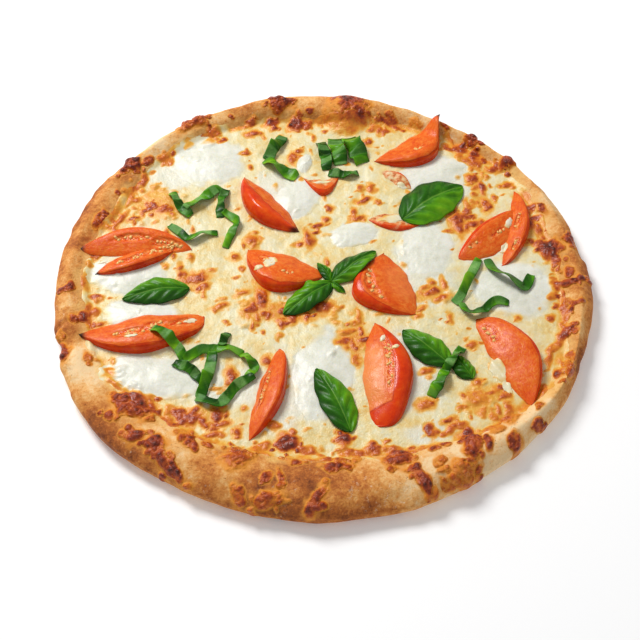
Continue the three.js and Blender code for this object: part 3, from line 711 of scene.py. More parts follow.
def blistered(points):
    """Rise and browning of the bubbles and of the specks between them."""
    flat = points * (1, 1, 0)
    rise = np.zeros(len(points))
    brown = np.zeros(len(points))
    wander = grain(flat, 3.4, 16)
    pits = grain(flat, 1.8, 17)
    domes = bubbles(flat, 3.2, 7)
    drift_x = 1.1 * grain(flat, 3.8, 53) + 0.4 * grain(flat, 1.9, 54)
    drift_y = 1.1 * grain(flat, 3.8, 55) + 0.4 * grain(flat, 1.9, 56)
    draw = np.random.default_rng(7)
    spots = list(BLISTERS)
    for x, y, wide, dark in BLISTERS:
        for _ in range(int(wide * 0.55 * draw.random() + 0.6)):
            way = TURN * draw.random()
            reach = wide * (0.55 + 0.4 * draw.random())
            spots.append((x + reach * math.cos(way), y + reach * math.sin(way),
                          wide * (0.3 + 0.3 * draw.random()), dark * (0.5 + 0.5 * draw.random())))
    crowd = len(spots)
    while len(spots) < crowd + SPECKS:
        radius, turn = 138 * draw.random() ** 0.42, TURN * draw.random()
        spots.append((radius * math.cos(turn), radius * math.sin(turn),
                      1.2 + 2.6 * draw.random() ** 2, 0.2 + 0.5 * draw.random() ** 1.6))
    places = np.array([(spot[0], spot[1], 0) for spot in spots])
    milk = milkiness(places)
    for (x, y, wide, dark), white in zip(spots, milk):
        dark = dark * (1 - 0.75 * white) if wide < 4.5 else dark
        near = (np.abs(points[:, 0] - x) < 1.9 * wide) & (np.abs(points[:, 1] - y) < 1.9 * wide)
        slant = 0.35 * math.sin(3.1 * x + 1.7 * y)
        gap_x, gap_y = points[near, 0] - x + drift_x[near], points[near, 1] - y + drift_y[near]
        away = np.hypot(gap_x * (1 + slant), gap_y * (1 - slant) + slant * gap_x) / (wide / 2)
        away = away * (1 + 0.3 * wander[near] + 0.08 * pits[near])
        cluster = min(1, max(0, wide - 5) / 4)
        knob = 1 - cluster + cluster * (0.35 + 0.65 * domes[near])
        blister = (0.2 + 0.11 * wide) * ease(1.15, 0.3, away) * knob
        rise[near] = np.maximum(rise[near], blister)
        halo = 0.27 * ease(2.4, 0.95, away) * min(1, 0.4 + dark)
        core = ease(1.15, 0.45, away) * (0.2 + 0.3 * knob + 0.12 * pits[near])
        brown[near] = np.maximum(brown[near], halo + core * dark)
    return rise, brown


def build_cheese():
    made = bmesh.new()
    bmesh.ops.create_grid(made, x_segments=CHEESE_CELLS, y_segments=CHEESE_CELLS, size=CHEESE_SPAN / 2)
    radius, angle = from_middle(points_of(made))
    past = radius - cheese_edge(angle)
    trimmed = [vert for vert, gap in zip(made.verts, past.tolist()) if gap > CHEESE_TRIM]
    bmesh.ops.delete(made, geom=trimmed, context="VERTS")
    points = points_of(made)
    radius, angle = from_middle(points)
    past = radius - cheese_edge(angle) + 3 * grain(points, 10, 18) + 1.5 * grain(points, 3.6, 19)
    near_edge = radius > cheese_radius(angle) - 14
    below = np.zeros(len(points))
    below[near_edge] = table.heights(points[near_edge])
    film = FILM_THICKNESS * np.sqrt(np.clip(-past / FILM_REACH, 0, 1)) - 0.5 * np.clip(past, 0, 3)
    floor = cheese_floor(points)
    points[:, 2] = floor
    rise, brown = blistered(points)
    crisp_rise, crisp_brown = browned(points, sheet_spots, table)
    bubble_rise, bubble_brown = bubble(points)
    crisp_rise = np.maximum(crisp_rise, bubble_rise)
    crisp_brown = np.maximum(crisp_brown, bubble_brown)
    raised = floor + np.maximum(rise, crisp_rise * ease(0, -3, past))
    climb = np.where(near_edge, below + film, 0)
    soft = np.clip(0.5 + 0.5 * (climb - raised) / FILLET, 0, 1)
    points[:, 2] = raised + (climb - raised) * soft + FILLET * 0.5 * soft * (1 - soft)
    points[:, 2] = np.where(past > 0, np.minimum(points[:, 2], below - 0.15 * past), points[:, 2])
    move_points(made, points)
    edging = (0.24 + 0.3 * grain(points * (1, 1, 0), 11, 20)) * ease(-9, -0.6, past)
    measured = {
        "brown": np.maximum(np.maximum(brown, crisp_brown), edging),
        "milk": milkiness(points),
        "rim": ease(-26, -2, past),
    }
    return made, measured


def cheese_recipe(name, softness):
    recipe = Recipe(name)
    brown, milk, rim = recipe.measured("brown", "milk", "rim")
    broad = recipe.noise(16, 3, 0.6)
    strands = recipe.noise(3.8, 3, 0.6, distortion=0.8)
    fine = recipe.noise(1, 3, 0.6)
    butter = recipe.ramp(
        broad * 0.6 + strands * 0.4 + rim * 0.05,
        (0.3, shade(232, 227, 202)), (0.45, shade(232, 220, 176)), (0.58, shade(231, 206, 140)),
        (0.72, shade(227, 180, 92)),
    )
    white = recipe.ramp(
        recipe.noise(8, 3, 0.6) * 0.7 + fine * 0.3,
        (0.3, shade(212, 212, 192)), (0.5, shade(227, 226, 211)), (0.7, shade(236, 235, 224)),
    )
    plain = recipe.mix(milk.ease(0.1, 0.85), butter, white)
    golden = broad.ease(0.5, 0.72) * rim * 0.12
    knobs = recipe.knobs()
    burnt = brown * (knobs * 0.4 + 0.72) + golden + (fine - 0.5) * 0.2 * brown.ease(0.05, 0.4)
    fried = browning(recipe, burnt, shade(236, 204, 118), shade(233, 178, 70))
    colour = recipe.mix((brown + golden).ease(0.04, 0.24), plain, fried)
    relief = recipe.noise(2.2, 3, 0.6) * 0.8 + fine * 0.4 + strands * 0.6
    relief = relief + knobs * brown.ease(0.25, 0.6) * 1.2
    rough = 0.36 - 0.06 * brown.ease(0.2, 0.7) + (fine - 0.5) * 0.24
    return recipe.finish(
        Base_Color=colour, Roughness=rough, Normal=recipe.bump(relief, softness),
        Subsurface_Weight=0.18, Subsurface_Radius=(1, 0.8, 0.5), Subsurface_Scale=0.003,
        Specular_IOR_Level=0.4,
    )


cheese, cheese_measured = build_cheese()
serve(
    cheese, "melted_cheese", cheese_recipe("melted_cheese", 0.5), "cheese", cheese_measured,
)
table.add(cheese)

# The fresh mozzarella: torn milky pieces that melted into low soft-edged pools, whiter and
# smoother than the sheet that they sank into.
POOL_RISE = 1.7
POOL_RINGS = 30
POOL_SECTORS = 110
milk_recipe = cheese_recipe("fresh_mozzarella", 0.2)


def build_pool(pool):
    """A line spun round into a disc, then drawn out to the pool's outline."""
    x, y, long, wide, turn = pool
    made = bmesh.new()
    line = [made.verts.new((step / POOL_RINGS, 0, 0)) for step in range(POOL_RINGS + 1)]
    for first, second in zip(line, line[1:]):
        made.edges.new((first, second))
    bmesh.ops.spin(
        made, geom=made.verts[:] + made.edges[:], cent=(0, 0, 0), axis=(0, 0, 1),
        angle=TURN, steps=POOL_SECTORS, use_merge=True,
    )
    bmesh.ops.remove_doubles(made, verts=made.verts, dist=0.0001)
    share, angle = from_middle(points_of(made))
    radius = share * (1 + POOL_WANDER * ripple(angle, x))
    away = turned(radius * np.cos(angle) * long / 2, radius * np.sin(angle) * wide / 2, turn)
    points = np.stack([x + away[0], y + away[1], 0 * share], axis=1)
    points[:, 2] = table.heights(points)
    flat = points * (1, 1, 0)
    folds = 0.28 * grain(flat, 9, 23) + 0.1 * grain(flat, 3, 24)
    swell = np.clip(1 - share ** 2, 0, 1) ** 1.2
    points[:, 2] += POOL_RISE * swell + folds * ease(1, 0.8, share) - 0.12 * ease(0.9, 1, share)
    move_points(made, points)
    bmesh.ops.recalc_face_normals(made, faces=made.faces)
    if sum(face.normal.z for face in made.faces) < 0:
        bmesh.ops.reverse_faces(made, faces=made.faces)
    edge_brown = blistered(points)[1] * ease(0.55, 1, share)
    crisp_brown = browned(points, sheet_spots, table)[1] * ease(0.5, 1, share)
    brown = np.maximum(edge_brown, crisp_brown)
    return made, {"brown": brown, "milk": milkiness(points), "rim": 0 * share}


for number, pool in enumerate(POOLS, 1):
    made, measured = build_pool(pool)
    name = f"fresh_mozzarella_{number}"
    serve(made, name, milk_recipe, f"mozzarella_{number}", measured)
    table.add(made)

# The tomatoes: ripe tomatoes cut in half-moon wedges and baked until their cut faces shrank a
# little. Each lies with its flesh up and its skin outwards; two are cut twice and show two legs.
# Tip, end, how far the skin and the cut edge bulge to the left of the way between them, rise.
WEDGES = (
    (((-147, 23), (-79, 26), 17, -2, 7), ((-136, 7), (-88, 28), -7, 7, 6)),
    (((-141, -38), (-69, -25), -19, 4, 8),),
    (((-49, 86), (-14, 40), -16, 3, 9),),
    (((-45, 26), (1, 6), -23, 3, 8),),
    (((37, 23), (54, -24), -29, 4, 8),),
    (((33, 99), (77, 133), -22, 0, 8),),
    (((120, 73), (107, 12), 13, 1, 7), ((120, 57), (82, 18), -7, 13, 6)),
    (((89, -28), (115, -89), 21, -3, 9),),
    (((30, -30), (31, -102), 20, -6, 9),),
    (((-25, -48), (-41, -110), 11, -3, 8),),
    (((-12, 86), (11, 88), -17, -4, 3.5),),
    (((28, 50), (61, 46), -7, 6, 3),),
    (((37, 90), (56, 75), 6, -2, 3),),
)
# For each wedge: where the skin begins between the cut edge (0) and the skin edge (1), how flat
# its cut face lies, how pale its core is, how charred its first and its last tip are, how far
# browned cheese covers it, how far its last tip curls up, how blunt its first and its last end
# are, whether skin wraps its last end, and its seed pockets: place along and across, length
# and width in millimetres.
WEDGE_LOOKS = (
    (0.96, 0.9, 0.1, 1, 0, 0, 0, 0, 0.1, 0, ((0.48, 0.55, 24, 5), (0.78, 0.38, 20, 8))),
    (
        0.95, 0.9, 0.15, 1, 0, 0, 0, 0, 0.4, 0,
        ((0.42, 0.5, 26, 6), (0.82, 0.4, 16, 7), (0.62, 0.35, 12, 5)),
    ),
    (0.42, 0, 0.1, 0, 0.9, 0, 0, 0.1, 0, 0, ()),
    (0.9, 0.8, 0.25, 0, 0, 0, 0, 0.2, 0.1, 0, ((0.3, 0.35, 11, 7), (0.6, 0.55, 8, 4))),
    (0.84, 0.5, 0.4, 0.2, 0, 0, 0, 0, 0.1, 0, ((0.5, 0.68, 27, 6),)),
    (0.95, 0.7, 0.1, 0.2, 1, 0, 6.5, 0, -0.5, 0, ((0.5, 0.55, 8, 4),)),
    (0.86, 0.5, 0.1, 0, 0, 0, 0, 0.1, 0.2, 0, ((0.45, 0.4, 14, 4), (0.75, 0.6, 9, 4))),
    (0.9, 0.8, 0.15, 0, 0, 0, 0, 0.4, 0, 0, ((0.22, 0.25, 14, 6),)),
    (0.6, 0.3, 0.7, 0, 0, 0, 0, 0, 0.42, 1, ((0.45, 0.52, 44, 5),)),
    (0.88, 0.7, 0.2, 0, 0, 0.1, 0, 0.3, 0, 0, ((0.5, 0.2, 30, 3),)),
    (0.8, 0.5, 0.2, 0, 0, 0.5, 0, 0, 0, 0, ()),
    (0.86, 0.6, 0.5, 0, 0, 0.75, 0, 0, 0, 0, ()),
    (0.8, 0.5, 0.3, 0, 0, 0.95, 0, 0, 0, 0, ()),
)
WEDGE_SHARES = (0, 0.9, 1, 0.97, 0.84, 0.66, 0.34, 0.02)
WEDGE_RISES = (0, 0, 0.3, 0.62, 0.9, 1, 0.68, 0.28)
FLAT_SHARES = (0, 0.94, 1, 1, 0.95, 0.78, 0.4, 0.02)
FLAT_RISES = (0, 0, 0.3, 0.6, 0.86, 0.94, 0.74, 0.34)
WEDGE_SINK = 0.5
WEDGE_AROUND = 64
WEDGE_ALONG = 72
seed_places = []


def bridged(tip, end, bulge, t):
    """Height of what a wedge rests on along one edge, as a stiff piece bridges it."""
    stations = np.linspace(0, 1, 41)
    line = tip + (end - tip) * stations[:, None] + bulge * np.sin(math.pi * stations)[:, None]
    window = np.hanning(15)[1:-1]
    heights = np.pad(table.heights(line), 6, mode="edge")
    return np.interp(t, stations, np.convolve(heights, window / window.sum(), mode="valid"))


def build_wedge(tip, end, skin_bulge, edge_bulge, rise, look, seed):
    """A ball, pole to pole from tip to end, set to the wedge's section all along."""
    skin_from, flatness, core, char_first, char_last, cover, curl, *blunt, wrapped, pockets = look
    made = bmesh.new()
    bmesh.ops.create_uvsphere(made, u_segments=WEDGE_AROUND, v_segments=WEDGE_ALONG, radius=1)
    ball = points_of(made)
    t = np.arccos(np.clip(ball[:, 2], -1, 1)) / math.pi
    turn = np.arctan2(ball[:, 1], ball[:, 0]) % TURN
    share = around(WEDGE_SHARES, turn) * (1 - flatness) + around(FLAT_SHARES, turn) * flatness
    height = around(WEDGE_RISES, turn) * (1 - flatness) + around(FLAT_RISES, turn) * flatness
    height = np.maximum(height, 0)
    tip, end = np.array(tip, float), np.array(end, float)
    along = (end - tip) / np.linalg.norm(end - tip)
    left = np.array([-along[1], along[0]])
    middle = tip + (end - tip) * t[:, None]
    swell = np.sin(math.pi * t)
    ragged = 0.5 * np.sin(5 * t * math.pi + seed) + 0.2 * np.sin(12 * t * math.pi + 2 * seed)
    fullness = swell ** (0.8 - blunt[0] * ease(0.5, 0, t) - blunt[1] * ease(0.5, 1, t))
    cut = middle + left * ((edge_bulge * fullness + ragged * swell)[:, None])
    skin = middle + left * ((skin_bulge * fullness)[:, None])
    flat = cut + (skin - cut) * share[:, None]
    base_cut, base_skin = (
        bridged(tip, end, left * bulge, t) for bulge in (edge_bulge, skin_bulge)
    )
    base = base_cut + (base_skin - base_cut) * share - WEDGE_SINK
    lift = np.where(swell > 0.01, height * rise * swell ** 0.6, 0.12 * rise)
    lift = lift + curl * ease(0.72, 1, t)
    points = np.stack([flat[:, 0], flat[:, 1], base + lift], axis=1)
    length = np.linalg.norm(end - tip)
    wide = np.linalg.norm(skin - cut, axis=1)
    upper = ease(0.15, 0.45, height) * ease(math.pi * 0.35, math.pi * 0.55, turn)
    skinned = ease(skin_from - 0.035, skin_from + 0.035, share + 0.03 * grain(points, 6, seed))
    skinned = np.maximum(skinned, 1 - ease(0.02, 0.06, height))
    skinned = np.maximum(skinned, wrapped * ease(0.83, 0.87, t + 0.09 * share))
    flesh = (1 - skinned) * upper
    gel = 0 * t
    for place, across, long, deep in pockets:
        near = np.hypot((t - place) * length / (long / 2), (share - across) * wide / (deep / 2))
        near = near * (1 + 0.2 * grain(points, 3.5, seed + 2))
        gel = np.maximum(gel, ease(1.15, 0.7, near))
        pocket = (place, across, long, deep, length, wide.max())
        seed_places.append((tip, end, skin_bulge, edge_bulge, *pocket))
    gel = gel * flesh
    dip = 0.85 * gel + flesh * (0.16 * grain(points, 5, seed + 5) + 0.1 * grain(points, 2.2, seed + 6))
    wrinkle = skinned * upper * 0.12 * grain(points * (1, 1, 0.5), 4, seed + 7)
    points[:, 2] -= (dip + wrinkle) * ease(0, 0.12, swell)
    pale = core * ease(0.62, 0.2, share) * ease(0.12, 0.35, t) * ease(0.95, 0.7, t)
    char = char_first * ease(0.075, 0.02, t) + char_last * ease(0.9, 0.96, t)
    move_points(made, points)
    measured = {
        "skin": skinned, "gel": gel, "core": pale, "char": char,
        "cover": cover * (0.5 + 0.5 * ease(0.9, 0.3, share)) + 0 * t,
        "along": t * length, "across": share * 16,
    }
    return made, measured


def tomato_recipe():
    recipe = Recipe("baked_tomato")
    skin, gel, core, char, cover = recipe.measured("skin", "gel", "core", "char", "cover")
    along, across = recipe.measured("along", "across")
    lie = recipe.node("ShaderNodeCombineXYZ", None, {0: along * 0.55 * MM, 1: across * MM})
    veins = recipe.noise(1.5, 3, 0.6, where=lie, distortion=1.4)
    broad = recipe.noise(7, 3, 0.6)
    fine = recipe.noise(0.8, 2)
    flesh = recipe.ramp(
        veins * 0.6 + broad * 0.4,
        (0.32, shade(212, 66, 10)), (0.5, shade(230, 98, 22)), (0.68, shade(241, 138, 54)),
    )
    flesh = recipe.mix(core.ease(0, 0.9) * 0.75, flesh, shade(240, 152, 84))
    folds = recipe.noise(2, 2, 0.6, where=lie, distortion=1)
    # The gel's colour follows the same folds that give its relief: its own red, plus painted highlight
    # (pale orange on the crests) and painted shade (dark red in the troughs).
    gel_tint_and_painted_glints = recipe.ramp(
        folds,
        (0.36, shade(206, 52, 10)), (0.5, shade(232, 104, 34)), (0.64, shade(245, 158, 88)),
    )
    flesh = recipe.mix(gel * 0.85, flesh, gel_tint_and_painted_glints)
    peel = recipe.ramp(
        broad * 0.7 + veins * 0.3,
        (0.3, shade(200, 38, 4)), (0.5, shade(221, 64, 8)), (0.72, shade(234, 98, 20)),
    )
    colour = recipe.mix(skin, flesh, peel)
    edge = skin.ease(0.1, 0.5) * skin.ease(0.95, 0.55)
    colour = recipe.mix(edge * 0.6, colour, shade(178, 26, 10))
    melted = recipe.noise(2.6, 4, 0.65)
    film = recipe.ramp(
        melted,
        (0.32, shade(176, 74, 30)), (0.44, shade(218, 128, 66)), (0.58, shade(236, 190, 134)),
        (0.72, shade(232, 214, 172)),
    )
    covered = (cover * 1.6 + (recipe.noise(5, 3, 0.6) - 0.5) * 1.4 - 0.3).ease(0.2, 0.7)
    colour = recipe.mix(covered * cover.ease(0, 0.1), colour, film)
    colour = recipe.mix(char, colour, shade(34, 16, 12))
    relief = veins * (1 - skin) * 0.9 + fine * 0.15 + gel * folds * 2.4 + melted * cover * 1.5
    rough = 0.31 - 0.12 * skin - 0.16 * gel + (fine - 0.5) * 0.1
    return recipe.finish(
        Base_Color=colour, Roughness=rough, Normal=recipe.bump(relief, 0.32),
        Subsurface_Weight=0.08, Subsurface_Radius=(1, 0.25, 0.1), Subsurface_Scale=0.003,
        Specular_IOR_Level=0.18, Coat_Weight=0.06, Coat_Roughness=0.12,
    )


def gather(parts):
    """Several meshes and what was measured on them, as one."""
    whole = bmesh.new()
    for made, _ in parts:
        mesh = bpy.data.meshes.new("part")
        made.to_mesh(mesh)
        whole.from_mesh(mesh)
        bpy.data.meshes.remove(mesh)
    return whole, {
        label: np.concatenate([measured[label] for _, measured in parts]) for label in parts[0][1]
    }


baked_tomato = tomato_recipe()
for number, (rows, look) in enumerate(zip(WEDGES, WEDGE_LOOKS), 1):
    parts = []
    for part, row in enumerate(rows):
        made, measured = build_wedge(*row, look, 3 * number + part)
        bmesh.ops.recalc_face_normals(made, faces=made.faces)
        parts.append((made, measured))
    whole, measured = gather(parts)
    serve(whole, f"tomato_wedge_{number}", baked_tomato, f"tomato_{number}", measured)
    table.add(whole)

# The laps of cheese: where the melting sheet ran a little way over a tomato wedge or into its
# slots and set there, paler than the sheet because it did not brown.
LAP_ACROSS = 34
LAP_ALONG = 16
# Each lap: x, y, length, width, turn in degrees, thickness.
LAPS = (
    (-128, 18, 16, 4, 18, 0.6), (-110, -43, 9, 3.4, 5, 0.5), (-77, -29, 8, 4, 20, 0.6),
    (41, -52, 5, 3.6, 20, 0.6), (34, -44, 6, 3, 70, 0.5), (110, 26, 9, 4, 60, 0.7),
    (98, -64, 17, 9, -68, 0.6), (103, -76, 10, 5, -62, 0.5),
    (114, 44, 10, 4, 65, 0.7), (-31, 13, 11, 8, 60, 0.6), (-38, 8, 6, 4, 30, 0.5),
    (0, 81, 12, 4, 10, 0.5), (46, 50, 24, 8, 8, 0.6), (50, 78, 8, 4, -40, 0.5),
)


def grid_piece(across, along):
    """A flat grid with, for each point, its share across (-1 to 1) and along (0 to 1)."""
    made = bmesh.new()
    bmesh.ops.create_grid(made, x_segments=across, y_segments=along, size=1)
    flat = points_of(made)
    return made, flat[:, 0], (flat[:, 1] + 1) / 2


def draped(height, share, t, across, along, rounds):
    """A grid's heights as something soft lies: over what it rests on, and taut between."""
    column = np.rint((share + 1) / 2 * across).astype(int)
    row = np.rint(t * along).astype(int)
    rest = np.zeros((along + 1, across + 1))
    rest[row, column] = height
    lying = rest.copy()
    for _ in range(rounds):
        padded = np.pad(lying, 1, mode="edge")
        mean = (padded[:-2, 1:-1] + padded[2:, 1:-1] + padded[1:-1, :-2] + padded[1:-1, 2:]) / 4
        lying = np.maximum(mean, rest)
    return lying[row, column]


def build_lap(lap):
    """A grid rounded off to a ragged disc, which drapes over what it ran over."""
    x, y, long, wide, turn, thick = lap
    made, u, t = grid_piece(LAP_ACROSS, LAP_ALONG)
    v = 2 * t - 1
    disc_u, disc_v = u * np.sqrt(1 - v ** 2 / 2), v * np.sqrt(1 - u ** 2 / 2)
    share = np.hypot(disc_u, disc_v)
    ragged = 1 + 0.3 * grain(np.stack([disc_u * 3 + x, disc_v * 3 + y, 0 * u], axis=1), 1, 41)
    away = turned(disc_u * ragged * long / 2, disc_v * ragged * wide / 2, turn)
    points = np.stack([x + away[0], y + away[1], 0 * u], axis=1)
    level = draped(table.heights(points), u, t, LAP_ACROSS, LAP_ALONG, 3)
    points[:, 2] = level + thick * np.clip(1 - share ** 2, 0, 1) ** 0.8 - 0.25 * ease(0.8, 1, share)
    move_points(made, points)
    tint = 0.14 * ease(0.3, 1, share) * (1 + grain(points, 4, 42))
    return made, {"brown": tint, "milk": 0.42 + 0.35 * grain(points, 5, 43), "rim": 0 * u}


laps, laps_measured = gather([build_lap(lap) for lap in LAPS])
serve(laps, "laps_of_cheese", milk_recipe, None, laps_measured)

# The tomato seeds: small pale drops that stayed in the wet pockets when the tomatoes were cut.
# They lie flat on the flesh and dried a little in the oven.
SEED_LENGTH = 3.2
SEEDS_PER_SQUARE = 0.07
seeds = bmesh.new()
draw = np.random.default_rng(3)
for tip, end, skin_bulge, edge_bulge, place, across, long, deep, length, wide in seed_places:
    along = (end - tip) / length
    left = np.array([-along[1], along[0]])
    for _ in range(max(3, int(SEEDS_PER_SQUARE * long * deep))):
        t = place + (draw.random() - 0.5) * 0.9 * long / length
        share = across + (draw.random() - 0.5) * 0.7 * deep / wide
        swell = math.sin(math.pi * min(max(t, 0.02), 0.98)) ** 0.8
        spot = tip + (end - tip) * t + left * swell * (edge_bulge + (skin_bulge - edge_bulge) * share)
        height = table.height(*spot)
        way = TURN * draw.random()
        size = SEED_LENGTH * (0.75 + 0.4 * draw.random())
        shape = Matrix.Translation((spot[0], spot[1], height - 0.05)) @ Matrix.Rotation(way, 4, "Z")
        shape = shape @ Matrix.Diagonal((size / 2, size / 3, size / 5, 1))
        bmesh.ops.create_icosphere(seeds, subdivisions=1, radius=1, matrix=shape)


def seed_recipe():
    recipe = Recipe("tomato_seed")
    mottle = recipe.noise(1.2, 2)
    colour = recipe.mix(mottle, shade(232, 158, 70), shade(246, 206, 130))
    return recipe.finish(
        Base_Color=colour, Roughness=0.25 + mottle * 0.1,
        Subsurface_Weight=0.2, Subsurface_Radius=(1, 0.7, 0.3), Subsurface_Scale=0.001,
    )


serve(seeds, "tomato_seeds", seed_recipe(), None, {})

# The basil leaves: fresh leaves laid on after baking, quilted between their veins and cupped
# along the midrib. The third is a sprig of four leaves that share one stem.
# Foot, tip, width, and how far the middle stands up.
LEAVES = (
    (((-79, -4), (-118, -12), 19, 4),),
    (((49, 48), (88, 77), 30, 4.5),),
    (
        ((5, 0), (-23, -24), 17, 4), ((5, 0), (32, 24), 16, 5),
        ((5, 0), (-3, 15), 7, 3), ((5, 0), (13, -8), 5, 2),
    ),
    (((15, -105), (-4, -64), 19, 4),),
    (((72, -60), (46, -36), 19, 4),),
    (((84, -70), (74, -54), 12, 4),),
)
LEAF_ACROSS = 32
LEAF_ALONG = 64
LEAF_THICKNESS = 0.4
LEAF_LIFT = 0.7
LEAF_NOTCHES = 0.035
QUILT_HEIGHT = 0.75
FURROW_DEPTH = 0.9
VEIN_PAIRS = 4


def build_leaf(foot, tip, wide, rise, seed):
    """A grid widened to the leaf's outline, draped, domed and quilted."""
    made, share, t = grid_piece(LEAF_ACROSS, LEAF_ALONG)
    foot, tip = np.array(foot, float), np.array(tip, float)
    along = tip - foot
    side = np.array([along[1], -along[0]]) / np.linalg.norm(along)
    half = np.maximum(0.5, 0.5 * wide * np.sin(math.pi * np.clip(t, 0, 1) ** 0.85) ** 0.62)
    notches = np.where(share > 0, np.sin(26 * t + seed), np.sin(23 * t + 2 * seed)) * (share != 0)
    half = half * (1 + LEAF_NOTCHES * notches)
    sway = 0.06 * wide * np.sin(math.pi * t) * math.sin(seed)
    flat = foot + along * t[:, None] + side * (share * half + sway)[:, None]
    rest = draped(table.heights(flat), share, t, LEAF_ACROSS, LEAF_ALONG, 60)
    arch = np.sin(math.pi * t)
    dome = rise * arch * (1 - 0.8 * share ** 2)
    furrow = FURROW_DEPTH * arch * np.clip(1 - 4 * np.abs(share), 0, 1)
    out = np.abs(share)
    vein_place = (t - 0.4 * out + 0.12 * out ** 2 + 0.04 * np.sign(share)) * (VEIN_PAIRS + 1)
    off_vein = np.abs(vein_place - np.rint(vein_place))
    quilt = ease(0, 0.5, off_vein) * ease(0.03, 0.3, out) * ease(1.02, 0.6, out)
    wave = 0.7 * np.sin(8 * t + 2 * share + seed) * out * arch
    swells = 0.5 * grain(np.stack([flat[:, 0], flat[:, 1], 0 * t], axis=1), 9, seed + 60) * arch
    height = rest + LEAF_LIFT + dome - furrow + wave + swells
    height += QUILT_HEIGHT * quilt * min(1, wide / 18)
    move_points(made, np.stack([flat[:, 0], flat[:, 1], height], axis=1))
    side_vein = ease(0.05, 0.012, off_vein) * ease(1, 0.6, out)
    vein = np.maximum(ease(0.05, 0.015, out), 0.4 * side_vein)
    # The tone runs lighter on one side of the midrib and darker on the other: painted shade, as light
    # falls on the cupped leaf.
    return made, {"vein": vein, "quilt": quilt, "pale": 0 * t, "tone": 0.5 + 0.45 * share}


def basil_recipe():
    recipe = Recipe("fresh_basil")
    vein, quilt, pale, tone = recipe.measured("vein", "quilt", "pale", "tone")
    broad = recipe.noise(9, 3, 0.6)
    fine = recipe.noise(0.9, 3, 0.6)
    # The tone term paints one side of each leaf or ribbon darker than the other: painted shade.
    leaf = recipe.ramp(
        # The quilt term paints the raised swells between the veins lighter and the furrows darker:
        # painted highlight and painted shade.
        tone * 0.5 + broad * 0.5 + (quilt - 0.5) * 0.12,
        (0.2, shade(16, 62, 2)), (0.45, shade(42, 104, 2)), (0.65, shade(84, 148, 4)),
        (0.85, shade(128, 182, 24)),
    )
    leaf = recipe.mix(vein * 0.4, leaf, shade(140, 188, 70))
    under = recipe.ramp(
        broad * 0.6 + fine * 0.4,
        (0.3, shade(66, 122, 52)), (0.5, shade(104, 156, 76)), (0.7, shade(150, 190, 112)),
    )
    colour = recipe.mix(pale, leaf, under)
    rough = 0.36 + (fine - 0.5) * 0.25 + pale * 0.2
    relief = fine * 0.35 + recipe.noise(3, 2) * 0.6 - vein * 0.5
    return recipe.finish(
        Base_Color=colour, Roughness=rough, Normal=recipe.bump(relief, 0.2),
        Subsurface_Weight=0.1, Subsurface_Radius=(0.4, 1, 0.2), Subsurface_Scale=0.001,
        Specular_IOR_Level=0.2,
    )


def thicken(piece, thickness):
    """Gives a leaf its thickness, downwards from its upper face."""
    solid = piece.modifiers.new("leaf_thickness", "SOLIDIFY")
    solid.thickness = thickness * MM
    solid.offset = -1


fresh_basil = basil_recipe()
for number, rows in enumerate(LEAVES, 1):
    parts = [build_leaf(*row, 2 * number + part) for part, row in enumerate(rows)]
    whole, measured = gather(parts)
    name = f"whole_basil_leaf_{number}"
    piece = serve(whole, name, fresh_basil, f"basil_leaf_{number}", measured)
    thicken(piece, LEAF_THICKNESS)
    table.add(whole)

# The basil shreds: leaves rolled up and cut across in ribbons, which spring open, twist and
# show their pale undersides. Width, how far the middle stands up, the places each one passes.
SHREDS = (
    (7, 2, ((-94, 73), (-88, 60), (-81, 53))),
    (8, 2, ((-63, 77), (-73, 68), (-85, 58))),
    (7, 2.5, ((-60, 75), (-63, 63), (-63, 52))),
    (6, 2, ((-61, 56), (-53, 48), (-55, 40), (-59, 28))),
    (6, 2.5, ((-94, 46), (-88, 40), (-81, 34), (-73, 38), (-64, 39))),
    (9.5, 2.5, ((-25, 122), (-29, 112), (-35, 101))),
    (10, 2, ((-36, 101), (-27, 92), (-16, 85))),
    (9, 2.5, ((-1, 116), (2, 105), (3, 92))),
    (12, 3, ((8, 119), (10, 107), (12, 96))),
    (14, 4, ((17, 119), (21, 108), (26, 97))),
    (7, 2, ((4, 89), (14, 87), (23, 89))),
    (7, 3, ((94, 18), (89, 6), (82, -10), (77, -16))),
    (7, 3, ((99, 18), (103, 6), (112, -1), (119, -6), (124, 4))),
    (6, 3, ((81, -16), (85, -24), (92, -23), (101, -16), (109, -17))),
    (7, 3, ((-98, -38), (-88, -44), (-81, -52), (-79, -58))),
    (7, 2, ((-85, -58), (-75, -64), (-68, -71))),
    (7, 3, ((-79, -57), (-71, -51), (-63, -50), (-53, -49), (-46, -52))),
    (8, 3, ((-63, -52), (-65, -70), (-69, -82))),
    (6, 2, ((-55, -37), (-58, -48))),
    (7, 3, ((-46, -52), (-39, -62), (-43, -68))),
    (7, 3, ((-71, -82), (-59, -87), (-53, -82), (-47, -74), (-39, -68))),
    (7, 3, ((80, -48), (75, -56), (69, -64))),
    (8, 3, ((69, -64), (65, -73), (60, -82))),
)
SHRED_ACROSS = 8
SHRED_ALONG = 56
SHRED_LIFT = 0.5


def through(places, t):
    """Points at shares t of a smooth open line through places."""
    places = np.array(places, float)
    steps = np.linalg.norm(np.diff(places, axis=0), axis=1)
    marks = np.concatenate([[0], np.cumsum(steps)]) / steps.sum()
    first = np.clip(np.searchsorted(marks, t, side="right") - 1, 0, len(places) - 2)
    local = ((t - marks[first]) / (marks[first + 1] - marks[first]))[:, None]
    near = (places[np.clip(first + step, 0, len(places) - 1)] for step in (-1, 0, 1, 2))
    return between(*near, local)


